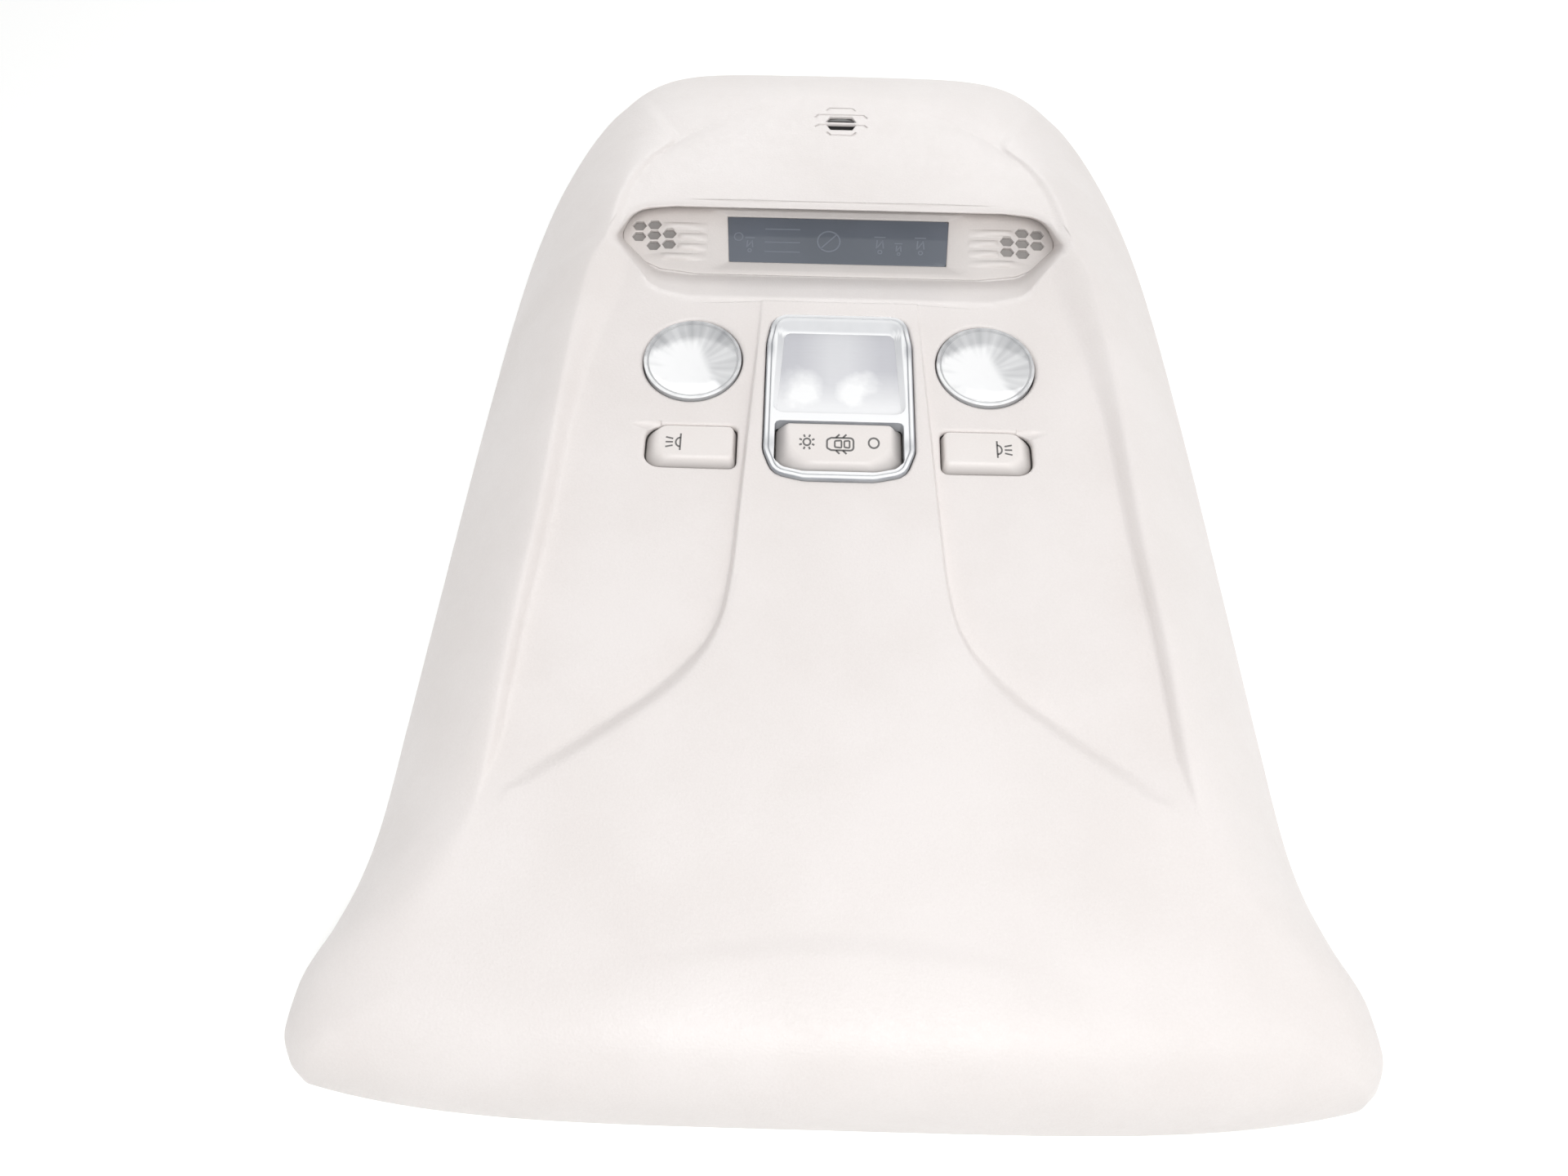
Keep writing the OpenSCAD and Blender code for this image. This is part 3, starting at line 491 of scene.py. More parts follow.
def drop_at(y, k, u):
    """How far a point lies below the crowned surface, in column band k at fraction u."""
    low, high = band_ends(np.stack([0 * y, 0 * y, curve(EDGE_D, y), curve(PAD_D, y), 0 * y]), k)
    return low + (high - low) * np.where((k == 1) | (k == 3), ease(u), u)


def lip_z(x, y):
    """The rise of the lip's rolled edge."""
    return 1.1 * ease((-165.5 - 0.0031 * x * x - y) / 7) * ease((88 - abs(x)) / 30)


def crown_z(y, ye, s):
    return curve(SPINE_Z, y) + (curve(CREST_Z, ye) - curve(SPINE_Z, y)) * s * s


def skin_point(y, k, u):
    ye = y + curve(ROW_BOW, y)
    f = lines(y, ye)
    a, b = band_ends(f, k)
    x = a + (b - a) * u
    s = x / f[4]
    yy = y + (ye - y) * s * s
    return x, yy, crown_z(y, ye, s) - drop_at(y, k, u) + lip_z(x, yy)


def surface_z(x, y):
    """Height of the finished surface over a point inside the crest line."""
    x, y = np.abs(np.asarray(x, float)), np.asarray(y, float)
    row = y + 0 * x
    for _ in range(14):
        s = x / curve(CREST_X, row + curve(ROW_BOW, row))
        row = y - curve(ROW_BOW, row) * s * s
    ye = row + curve(ROW_BOW, row)
    f = lines(row, ye)
    k = (x > f[1]).astype(int) + (x > f[2]) + (x > f[3])
    a, b = band_ends(f, k)
    u = np.clip((x - a) / (b - a), 0, 1)
    return crown_z(row, ye, np.clip(x / f[4], 0, 1)) - drop_at(row, k, u) + lip_z(x, y)


def over_surface(xy, lift):
    """Points of a plan carried to a height over the finished surface."""
    return np.column_stack([xy, surface_z(xy[:, 0], xy[:, 1]) + lift])


def two_sided(points, start=0):
    """One half of an outline and its mirror image as a loop that begins at the given point."""
    loop = list(points) + [(-x, y) for x, y in points[::-1]]
    return loop[start:] + loop[:start]


def tapered(half0, y0, half1, y1, radius, steps):
    """A rounded four-sided outline with two half widths."""
    return rounded(two_sided([(half0, y0), (half1, y1)], -1), radius, steps)


def rounded(points, radii, steps=6):
    """A closed outline whose corners are rounded by arcs."""
    n = len(points)
    radii = [radii] * n if isinstance(radii, (int, float)) else radii
    pts = [np.array(p, float) for p in points]
    out = []
    for i in range(n):
        p, a, b = pts[i], pts[i - 1] - pts[i], pts[(i + 1) % n] - pts[i]
        la, lb = np.linalg.norm(a), np.linalg.norm(b)
        a, b = a / la, b / lb
        inner = math.acos(max(-1, min(1, float(a @ b))))
        reach = min(radii[i] / math.tan(inner / 2), 0.49 * min(la, lb))
        if reach < 1e-3:
            out.append(p)
            continue
        pull = 4 / 3 * math.tan((math.pi - inner) / 4) * math.tan(inner / 2)
        q = [p + a * reach, p + a * reach * (1 - pull), p + b * reach * (1 - pull), p + b * reach]
        for t in np.linspace(0, 1, steps + 1):
            w = ((1 - t) ** 3, 3 * t * (1 - t) ** 2, 3 * t * t * (1 - t), t**3)
            out.append(sum(k * c for k, c in zip(w, q)))
    return np.array(out)


def unit(v):
    return v / (np.linalg.norm(v, axis=1)[:, None] + 1e-12)


def grow(outline, d):
    """The outline moved outwards by d along its own normals, for a counter-clockwise outline."""
    fore, back = unit(np.roll(outline, -1, 0) - outline), unit(outline - np.roll(outline, 1, 0))
    n1, n2 = np.stack([fore[:, 1], -fore[:, 0]], 1), np.stack([back[:, 1], -back[:, 0]], 1)
    mid = unit(n1 + n2)
    return outline + mid * (d / np.maximum((mid * n1).sum(1), 0.5))[:, None]


def spaced(outline, count):
    """The same closed outline with evenly spaced points."""
    ring = np.vstack([outline, outline[:1]])
    length = np.concatenate(([0], np.cumsum(np.linalg.norm(np.diff(ring, axis=0), axis=1))))
    at = np.linspace(0, length[-1], count, endpoint=False)
    return np.stack([np.interp(at, length, ring[:, i]) for i in range(ring.shape[1])], 1)


# ---- meshes
def ring_at(outline, z):
    return np.column_stack([outline, np.broadcast_to(z, len(outline))])


def loft(rings, closed=False):
    """A closed skin through rings of equal length, capped at both ends unless it closes on itself."""
    n, m = len(rings[0]), len(rings)
    verts = np.vstack(rings)
    faces = []
    for k in range(m if closed else m - 1):
        a, b = k * n, (k + 1) % m * n
        faces += [(a + i, a + (i + 1) % n, b + (i + 1) % n, b + i) for i in range(n)]
    if not closed:
        faces += [tuple(range(n - 1, -1, -1)), tuple((m - 1) * n + i for i in range(n))]
    return verts, faces


def prism(outline, z0, z1):
    return loft([ring_at(outline, z0), ring_at(outline, z1)])


def block(x0, x1, y0, y1, z0, z1):
    return prism(np.array([[x0, y0], [x1, y0], [x1, y1], [x0, y1]], float), z0, z1)


def turns(count):
    """Evenly spaced angles of one full turn."""
    return np.arange(count) * TAU / count


def disc(cx, cy, r, n=28):
    a = turns(n)
    return np.column_stack([cx + r * np.cos(a), cy + r * np.sin(a)])


def flat_top(rim, centre, z, shares):
    """Rings that close a level top from its rim towards a centre."""
    return [ring_at(centre + (rim - centre) * share, z) for share in shares]


def cushion(outline, z0, z1, top_r, low_r=0.0, steps=5):
    """A plate with rounded top and bottom edges."""
    angles = np.linspace(0, math.pi / 2, steps)
    rings = [ring_at(outline, z0)]
    if low_r:
        rings = [ring_at(grow(outline, -low_r * (1 - math.sin(a))), z0 + low_r * (1 - math.cos(a)))
                 for a in angles]
    rings += [ring_at(grow(outline, -top_r * (1 - math.cos(a))), z1 - top_r * (1 - math.sin(a)))
              for a in angles]
    rim = rings[-1][:, :2]
    return loft(rings + flat_top(rim, rim.mean(0), z1, (0.85, 0.51, 0.255, 0.017)))


def joined(parts):
    verts, faces, first = [], [], 0
    for v, f in parts:
        verts.append(v)
        faces += [tuple(i + first for i in face) for face in f]
        first += len(v)
    return np.vstack(verts), faces


def mirrored(part):
    v, f = part
    return v * np.array([-1.0, 1, 1]), [face[::-1] for face in f]


def both(part):
    return joined([part, mirrored(part)])


def tilted(part, degrees, x, y, z):
    """A part drawn on a level plane, tipped about X and moved to its place."""
    v, f = part
    c, s = math.cos(math.radians(degrees)), math.sin(math.radians(degrees))
    return np.column_stack([v[:, 0] + x, y + v[:, 1] * c - v[:, 2] * s, z + v[:, 1] * s + v[:, 2] * c]), f


def on_display(part):
    return tilted(part, DISPLAY_TILT, 0, DISPLAY_Y, DISPLAY_Z)


def on_sensor(part):
    return tilted(part, SENSOR_TILT, SENSOR_X, SENSOR_Y, float(surface_z(0.0, SENSOR_Y)))


def make(name, part, material=None, smooth=35):
    """A mesh object from millimetres, with faces outwards and smooth shading up to an angle."""
    v, f = part
    mesh = bpy.data.meshes.new(name)
    mesh.from_pydata((np.asarray(v) * MM).tolist(), [], f)
    bm = bmesh.new()
    bm.from_mesh(mesh)
    bmesh.ops.recalc_face_normals(bm, faces=bm.faces)
    bm.to_mesh(mesh)
    bm.free()
    obj = into_scene(name, mesh)
    shade(obj, smooth)
    if material:
        mesh.materials.append(MATERIALS[material])
    return obj


def shade(obj, angle):
    mesh = obj.data
    mesh.polygons.foreach_set("use_smooth", [True] * len(mesh.polygons))
    mesh.set_sharp_from_angle(angle=math.radians(angle))
    mesh.update()


def read_all(items, key, width=1, kind=float):
    """One value, or one row of values, for each item of a mesh."""
    values = np.empty(len(items) * width, kind)
    items.foreach_get(key, values)
    return values.reshape(-1, width) if width > 1 else values


def painted_shade(obj, amount):
    """Stores how strongly each corner shows the painted shade colour (the wall colour), from its place in mm
    and its face's slope.
    """
    mesh = obj.data
    at = read_all(mesh.vertices, "co", 3)[read_all(mesh.loops, "vertex_index", kind=int)] / MM
    up = np.repeat(read_all(mesh.polygons, "normal", 3)[:, 2], read_all(mesh.polygons, "loop_total", kind=int))
    share = np.clip(amount(at[:, 0], at[:, 1], at[:, 2], up), 0, 1)
    layer = mesh.attributes.new("painted_shade", "FLOAT", "CORNER")
    layer.data.foreach_set("value", share.astype(np.float32))


def solid_op(obj, parts, how):
    """Cuts, joins or trims an object by each of the parts in turn, then keeps the plain mesh."""
    tools = []
    for i, part in enumerate(parts):
        tool = make(f"tool_{i}", part) if isinstance(part, tuple) else part
        tools.append(tool)
        m = obj.modifiers.new(f"op_{i}", "BOOLEAN")
        m.operation, m.solver, m.object = how, "MANIFOLD", tool
    graph = bpy.context.evaluated_depsgraph_get()
    plain = bpy.data.meshes.new_from_object(obj.evaluated_get(graph), depsgraph=graph)
    obj.modifiers.clear()
    materials = list(obj.data.materials)
    obj.data = plain
    plain.materials.clear()
    for m in materials:
        plain.materials.append(m)
    plain.polygons.foreach_set("material_index", [0] * len(plain.polygons))
    for tool in tools:
        bpy.data.objects.remove(tool)
    return obj


def place(obj, body, slot, *nodes):
    """Hands a finished piece to the frame: the body it rides on and the nodes it stands for, which it hides.
    The slot is not used.
    """
    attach(obj, body)
    if nodes:
        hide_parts(*nodes)
    return obj


def ribbon(path, width, closed=False):
    """The outline strip of a drawn line of even width, as (left, right) point lists."""
    p = np.array(path, float)
    fore = np.roll(p, -1, 0) - p
    back = p - np.roll(p, 1, 0)
    if not closed:
        fore[-1], back[0] = back[-1], fore[0]
    fore, back = unit(fore), unit(back)
    mid = unit(fore + back)
    normal = np.stack([-mid[:, 1], mid[:, 0]], 1)
    stretch = 1 / np.maximum((mid * fore).sum(1), 0.45)
    side = normal * (width / 2 * stretch)[:, None]
    return p + side, p - side


def stroke(path, width, height, low=-0.02, high=0.035, closed=False):
    """A drawn line as a thin solid that lies on a surface of the given height."""
    left, right = ribbon(path, width, closed)
    n = len(left)
    z_left, z_right = height(left[:, 0], left[:, 1]), height(right[:, 0], right[:, 1])
    verts = np.vstack(
        [
            np.column_stack([left, z_left + high]),
            np.column_stack([right, z_right + high]),
            np.column_stack([left, z_left + low]),
            np.column_stack([right, z_right + low]),
        ]
    )
    faces = []
    for i in range(n if closed else n - 1):
        j = (i + 1) % n
        faces += [(i, n + i, n + j, j), (2 * n + i, 2 * n + j, 3 * n + j, 3 * n + i),
                  (i, j, 2 * n + j, 2 * n + i), (n + i, 3 * n + i, 3 * n + j, n + j)]
    if not closed:
        faces += [(0, 2 * n, 3 * n, n), (n - 1, 2 * n - 1, 4 * n - 1, 3 * n - 1)]
    return verts, faces


def flat_at(z):
    return lambda x, y: np.full(np.shape(x), float(z))


# ---- sizes shared with the solids
DISPLAY_Y, DISPLAY_Z, DISPLAY_TILT = 89.0, 22.5, 13.0
SENSOR_X, SENSOR_Y, SENSOR_TILT = 1.0, 152.0, -12.0
WALL, GAP = 2.5, 0.35
DECK_TOP = 24.0
INSERT_T = 2.5
LENS_R, LENS_X, LENS_Y = 16.6, 49.6, 25.0
DISH_R, BOWL_R, BOWL_Z, FLUTES = 14.6, 6.6, 15.0, 36
KEY_X, KEY_Y, KEY_L, KEY_W = 48.2, -10.0, 29.4, 15.6
CAP_ROLL = 0.8
KEY_X0, KEY_X1 = KEY_X - KEY_L / 2, KEY_X + KEY_L / 2
KEY_Y0, KEY_Y1 = KEY_Y - KEY_W / 2, KEY_Y + KEY_W / 2
ROCK_Z, PIN_Z = 37.3626, 30.3626
SCREW_AT = [(x, y) for x in (-66.5, 66.5) for y in (-25, 44.5)]
CLIP_AT = [(62, -168), (-62, -168), (54, 138), (-54, 138)]
key_outline = rounded([(KEY_X0, KEY_Y0), (KEY_X1, KEY_Y0), (KEY_X1, KEY_Y1), (KEY_X0, KEY_Y1)],
                      [2.0, 5.0, 5.0, 2.0], 8)
frame_outline = rounded(two_sided(
    [(-22.6, 43.0), (-24.5, 30.6), (-24.5, 13), (-24.5, -13.0), (-21.2, -21.9), (-11.3, -24.2)], 2), 6.0, 7)
rocker_outline = rounded(two_sided([(-20.5, -2.1), (-20.5, -16.9), (-17.9, -19.3), (-11.5, -20.9)]), 1.6, 5)
insert_outline = rounded(two_sided(
    [(52, -12.4), (66, -10.6), (75, -6.4), (80, -0.6), (80.6, 4.4), (77.6, 14.2), (66, 16.2)], -1), 3.0, 5)


# ---- the moulded shell
# The rim's two ends: half width, y in the middle, how far y falls back at the corners, and the power of that
WIDE_END, NARROW_END = (143, -210, 8, 4.2), (88, 210, -20, 6.4)
CREST_REACH = [
    [-210, 26], [-165, 22], [-140, 14], [-120, 6], [-90, 3.6], [40, 3.2], [75, 2.4], [110, 2], [210, 2],
]
ABOVE = 44  # higher than any point of the shell
# The sensor grille's slots: place along the grille, half width and how far their ends turn
SENSOR_SLOTS = ((13.6, 4.4, -2.2), (8.0, 9.0, -2.2), (0.0, 9.0, -1.6), (-7.6, 4.4, 2.2))
RECESS_RIM = [(53, 52.5), (65, 56.5), (80.6, 77.0), (74.5, 94.8), (60, 96.3)]
RECESS_FOOT = [(54, -13), (68, -11.4), (81.2, 2), (77, 13.2), (62, 15.6)]
RECESS_RADII = [7, 12, 4.5, 10, 16]


def end_y(end, s):
    return end[1] + end[2] * s ** end[3]


def skin_mesh(rows, bands, rings, inset=0.0, hem=0.0):
    """The shell's closed skin: a patch of rows and columns with a rounded flank down to the rim."""
    half = sum(bands)
    k, u = [], []
    for band, count in enumerate(bands):
        k += [band] * count
        u += [i / count for i in range(count)]
    k, u = np.array(k + [3]), np.array(u + [1.0])
    side = curve(ROW_LINE, 50 * np.arange(rows + 1) / rows)
    ys, ks, us = np.repeat(side, half + 1), np.tile(k, rows + 1), np.tile(u, rows + 1)
    x, y, z = (a.reshape(rows + 1, half + 1) for a in skin_point(ys, ks, us))
    shrink = 1 - 0.5 * inset / 95
    x, y = x * shrink, y * shrink
    patch = np.empty((rows + 1, 2 * half + 1, 3))
    patch[:, half:, 0], patch[:, half::-1, 0] = x, -x
    patch[:, half:, 1], patch[:, half::-1, 1] = y, y
    patch[:, half:, 2], patch[:, half::-1, 2] = z - inset, z - inset
    cols = 2 * half
    around = ([(0, j) for j in range(cols)] + [(i, cols) for i in range(rows)]
              + [(rows, j) for j in range(cols, 0, -1)] + [(i, 0) for i in range(rows, 0, -1)])
    i, j = np.array(around).T
    ye = side[i] + curve(ROW_BOW, side[i])
    sign = np.where(j < half, -1.0, 1.0)
    s = np.abs(patch[i, j, 0]) / shrink / curve(CREST_X, ye)
    rim_y = curve(RIM_Y, ye)
    flank = (j == 0) | (j == cols)
    fx = np.where(flank, curve(RIM_X, rim_y), np.where(i == 0, WIDE_END[0] * s, NARROW_END[0] * s))
    fy = np.where(flank, rim_y, np.where(i == 0, end_y(WIDE_END, s), end_y(NARROW_END, s)))
    fx, fy = sign * fx * (1 - inset / 151), fy * (1 - inset / 210)
    power = 2 / curve(ROUND_N, np.where(i == 0, -185, np.where(i == rows, 141, ye)))
    top = patch[i, j]
    verts, n = [patch.reshape(-1, 3)], len(around)
    for r in range(1, rings + 1):
        t = math.pi / 2 * r / rings
        a, b = math.sin(t) ** power, (np.zeros(n) if r == rings else math.cos(t) ** power)
        verts.append(np.column_stack([top[:, 0] + (fx - top[:, 0]) * a, top[:, 1] + (fy - top[:, 1]) * a,
                                      top[:, 2] * b]))
    if hem:
        verts.append(np.column_stack([fx, fy, np.full(n, -hem)]))
    first = (rows + 1) * (cols + 1)
    levels = [i * (cols + 1) + j] + [first + r * n + np.arange(n) for r in range(len(verts) - 1)]
    faces = [(a, a + cols + 1, a + cols + 2, a + 1)
             for r in range(rows) for a in range(r * (cols + 1), r * (cols + 1) + cols)]
    for lower, upper in zip(levels[:-1], levels[1:]):
        faces += [(int(lower[m]), int(lower[(m + 1) % n]), int(upper[(m + 1) % n]), int(upper[m]))
                  for m in range(n)]
    faces.append(tuple(int(m) for m in levels[-1]))
    return np.vstack(verts), faces, levels


def relaxed(verts, faces, weight, rounds):
    """Eases the surface where weight is above zero, by moving each point towards its neighbours."""
    a, b = [], []
    for f in faces:
        if len(f) <= 4:
            a += f
            b += f[1:] + f[:1]
    a, b = np.array(a), np.array(b)
    count = np.bincount(a, minlength=len(verts)) + np.bincount(b, minlength=len(verts))
    v = verts.copy()
    for _ in range(rounds):
        total = np.column_stack([np.bincount(a, v[b, c], len(v)) + np.bincount(b, v[a, c], len(v))
                                 for c in range(3)])
        v += (total / np.maximum(count, 1)[:, None] - v) * weight[:, None]
    return v


def outer_skin():
    """The visible skin, with its crest rounded off: tightly beside the pads, broadly round the lip."""
    verts, faces, levels = skin_mesh(230, (14, 10, 16, 14), 26)
    y = verts[:, 1]
    crest = verts[levels[0]]
    near = np.full(len(verts), 1e9)
    for part in np.array_split(np.arange(len(verts)), 60):
        d = verts[part][:, None, :] - crest[None, ::3, :]
        near[part] = np.sqrt((d * d).sum(2).min(1))
    weight = 0.5 * (1 - ease(near / curve(CREST_REACH, y)))
    weight[levels[-1]] = 0
    tight = relaxed(verts, faces, weight, 24)
    broad = relaxed(tight, faces, weight * ease((-118 - y) / 30), 150)
    return broad, faces


def follow(outline, offset, depth):
    """A ring beside an outline at a depth under the finished surface."""
    return over_surface(grow(outline, offset) if offset else outline, -depth)


def opening(outline, roll, bottom):
    """A cutter for an opening whose edge rolls over smoothly into the surface."""
    o = spaced(outline, 96)
    rings = [ring_at(o, bottom), follow(o, 0, roll * 1.6)]
    for a in np.linspace(0.15, 1, 6) * math.pi / 2:
        rings.append(follow(o, roll * (1 - math.cos(a)), roll * (1 - math.sin(a)) - 0.012))
    rings.append(ring_at(rings[-1][:, :2], float(rings[-1][:, 2].max()) + 4))
    return loft(rings)


def recess_tool(g=0.0, inside=True):
    """The display recess: sloping walls between the insert and a rolled edge in the surface."""
    c, t = math.cos(math.radians(DISPLAY_TILT)), math.sin(math.radians(DISPLAY_TILT))
    radii = RECESS_RADII + RECESS_RADII[::-1]
    o_top = grow(rounded(two_sided(RECESS_RIM), radii, 9), g)
    o_low = grow(rounded(two_sided([(x, DISPLAY_Y + v * c) for x, v in RECESS_FOOT]), radii, 9), g)
    base = np.column_stack([o_low, DISPLAY_Z + (o_low[:, 1] - DISPLAY_Y) / c * t])
    if not inside:
        return loft([base - np.array([0, 0, INSERT_T]), over_surface(o_top, 0.5)])
    edge = over_surface(o_top, 0)
    front = ease((o_top[:, 1] - 80) / 14)
    tips = ease((np.abs(o_top[:, 0]) - 66) / 12) * (1 - front)
    size = (3.0 + 1.8 * front) * (1 + 0.3 * tips)
    out_pt = over_surface(o_top + unit(grow(o_top, 1.0) - o_top) * size[:, None], 0.015)
    in_pt = edge + unit(base - edge) * (size * (1.1 - 0.5 * front))[:, None]
    rings = [base, base + (in_pt - base) * 0.5] + bezier(in_pt, edge, out_pt, 9)
    return loft(rings + [out_pt + np.array([0, 0, 6.0])])


def insert_hole():
    wide, snug = grow(insert_outline, 1.4), grow(insert_outline, 0.12)
    return on_display(loft([ring_at(wide, -INSERT_T - 8), ring_at(wide, -INSERT_T),
                            ring_at(snug, -INSERT_T), ring_at(snug, 0.3)]))


def console_shell():
    verts, faces = outer_skin()
    shell = make("shell_skin", (verts, faces), "shell_plastic")
    inner = skin_mesh(90, (6, 5, 8, 5), 10, WALL, 1.0)
    backs = [recess_tool(WALL, False)]
    # screw bosses, clip posts, sensor walls, lengthwise ribs and the cross rib, cut off by the outer skin
    backs += [prism(disc(x, y, 4, 24), DECK_TOP, ABOVE) for x, y in SCREW_AT]
    backs += [block(x - 7, x + 7, y - 1.2, y + 1.2, 3, ABOVE) for x, y in CLIP_AT]
    backs += [block(s * 17 - 0.8, s * 17 + 0.8, SENSOR_Y - 9, SENSOR_Y + 11, 14, 30) for s in (-1, 1)]
    backs += [block(x - 0.9, x + 0.9, -190, -120, 22, ABOVE) for x in (-90, -30, 30, 90)]
    backs += [block(-112, 112, -141, -139.2, 26, ABOVE)]
    extras = []
    for i, part in enumerate(backs):
        extra = solid_op(make(f"back_{i}", part), [(verts - np.array([0, 0, 0.6]), faces)], "INTERSECT")
        extras.append(extra)
    solid_op(shell, [inner[:2]], "DIFFERENCE")
    solid_op(shell, extras, "UNION")
    holes = [recess_tool(), insert_hole(), opening(grow(frame_outline, GAP), 0.9, DECK_TOP - 4)]
    lens = opening(disc(LENS_X, LENS_Y, LENS_R + GAP, 96), 1.6, DECK_TOP - 4)
    key = opening(grow(key_outline, GAP), 1.3, DECK_TOP - 4)
    holes += [lens, mirrored(lens), key, mirrored(key)]
    scoop = scoop_tool()
    holes += [scoop, mirrored(scoop)]
    holes += [prism(disc(x, y, 1.45, 24), DECK_TOP - 1, DECK_TOP + 6) for x, y in SCREW_AT]
    holes.append(on_sensor(prism(disc(0, 1.2, 9, 40), -9, -1.1)))
    for s in (1, -1):
        corners = [(-6.2, 0.65), (6.2, 0.65), (4.3, 5.2), (-4.3, 5.2)][::s]
        slot = rounded([(x, 1.25 + s * y) for x, y in corners], 0.4, 3)
        holes.append(on_sensor(prism(slot, -8, 6)))
    for v, w, fall in SENSOR_SLOTS:
        path = [(-w - 1.3, v + fall), (-w, v), (w, v), (w + 1.3, v + fall)]
        left, right = ribbon(path, 0.75)
        holes.append(on_sensor(prism(np.vstack([right, left[::-1]]), -0.55, 6)))
    solid_op(shell, holes, "DIFFERENCE")
    shade(shell, 32)
    return place(shell, "base", "shell_plastic", "console_shell")


def scoop_tool():
    """Finger scoop that leads into the outer front corner of a key's opening."""
    a = turns(20)
    rings = []
    for u in np.linspace(0, 1, 9):
        x, y = KEY_X1 - 4.5 + 10.5 * u, KEY_Y1 - 1.0 + 1.2 * u
        r = 3.2 * (1 - 0.55 * u)
        deep = 1.9 * (1 - u) ** 0.8
        z = surface_z(x, y) + r + 0.05 - deep * 0.9
        rings.append(np.column_stack([np.full(20, x), y + r * np.cos(a), z + r * np.sin(a)]))
    return loft(rings)


def bezier(a, b, c, steps):
    """Rings from a to c that bend towards b."""
    return [(1 - u) ** 2 * a + 2 * u * (1 - u) * b + u * u * c for u in np.linspace(0, 1, steps)]


def stepped_cap(outer, inner, z_low, z_shoulder, z_top):
    """A cap whose sides slope in from its shoulder to a smaller top face, with rolled edges."""
    outer, inner = spaced(outer, 96), spaced(inner, 96)
    side, shoulder = ring_at(outer, z_shoulder - 0.45), ring_at(outer, z_shoulder)
    face = ring_at(inner, z_top)
    slope = face - shoulder
    rings = [ring_at(grow(outer, -0.25), z_low), ring_at(outer, z_low + 0.25)]
    rings += bezier(side, shoulder, shoulder + slope * 0.2, 5)
    rings += bezier(face - slope * 0.22, face, ring_at(grow(inner, -CAP_ROLL), z_top), 7)
    return loft(rings + flat_top(rings[-1][:, :2], inner.mean(0), z_top, (0.8, 0.55, 0.3, 0.04)))


def key_cap():
    """A press key: flat face with a broad slope at its outer end and rear side, and its stem."""
    left, right, rear, front = KEY_X0 + 1.1, KEY_X1 - 3.8, KEY_Y0 + 3.3, KEY_Y1 - 0.5
    face = rounded([(left, rear), (right, rear), (right, front), (left, front)], [1.6, 5.4, 3.4, 1.6], 8)
    cap = stepped_cap(key_outline, face, DECK_TOP + 2.0, KEY_TOP - 3.4, KEY_TOP)
    return joined([cap, prism(disc(KEY_X, KEY_Y, 2.2, 24), 14.6, DECK_TOP + 2.2)])


def rocker_cap():
    """The three-position rocker and the pin it tips on."""
    face = rounded(two_sided([(-17.0, -2.35), (-15.9, -12.9), (-9.5, -17.2)]),
                   [0.8, 5.5, 5.0, 5.0, 5.5, 0.8], 7)
    outer = np.roll(rocker_outline, -6, 0)
    outer = np.roll(outer, -np.argmin(((outer - face[0]) ** 2).sum(1)), 0)
    cap = stepped_cap(outer, face, ROCK_Z - 7.6, ROCK_Z - 3.8, ROCK_Z)
    a = turns(20)
    pin = loft([np.column_stack([1.2 * np.cos(a), np.full(20, y), PIN_Z + 1.2 * np.sin(a)])
                for y in (-22.5, -0.5)])
    return joined([cap, pin])


def finger_pieces():
    """The three caps; painted shade darkens their sides towards the pockets they sit in."""
    key = key_cap()
    for name, part, top, body in (("left_key_cap", mirrored(key), KEY_TOP, "left_button"),
                                  ("right_key_cap", key, KEY_TOP, "right_button"),
                                  ("rocker_cap", rocker_cap(), ROCK_Z, "dome_switch")):
        cap = make(name, part, "key_plastic", 30)
        # painted shade: darker the further a point lies below the cap's top
        painted_shade(cap, lambda x, y, z, up, top=top: 0.95 * ease((top - 0.1 - z) / 3.4))
        place(cap, body, "key_plastic", body)


# ---- printed pictograms
def sun_marks(cx, cy, z):
    parts = [stroke(disc(cx, cy, 1.15), 0.58, z, closed=True)]
    for k in range(8):
        a = math.radians(22.5 + 45 * k)
        c, s = math.cos(a), math.sin(a)
        parts.append(stroke([(cx + 1.75 * c, cy + 1.75 * s), (cx + 2.65 * c, cy + 2.65 * s)], 0.6, z))
    return parts


def car_marks(cx, cy, z):
    """A plan view of a car with its four doors ajar."""
    def at(points):
        return [(cx + 0.9 * x, cy + 0.9 * y) for x, y in points]

    body = rounded([(-4.9, -1.5), (-3.4, -2.3), (4.6, -2.3), (4.6, 2.3), (-3.4, 2.3), (-4.9, 1.5)],
                   [0.8, 1.0, 1.2, 1.2, 1.0, 0.8], 4)
    parts = [stroke(np.array(at(body)), 0.6, z, closed=True)]
    for x0, x1 in ((-2.1, 0.3), (1.3, 3.2)):
        pane = rounded([(x0, -1.15), (x1, -1.35), (x1, 1.35), (x0, 1.15)], 0.4, 3)
        parts.append(stroke(np.array(at(pane)), 0.55, z, closed=True))
    for x in (-0.9, 1.6):
        for s in (-1, 1):
            parts.append(stroke(at([(x - 0.8, s * 2.4), (x + 0.5, s * 3.6)]), 0.58, z))
    return parts


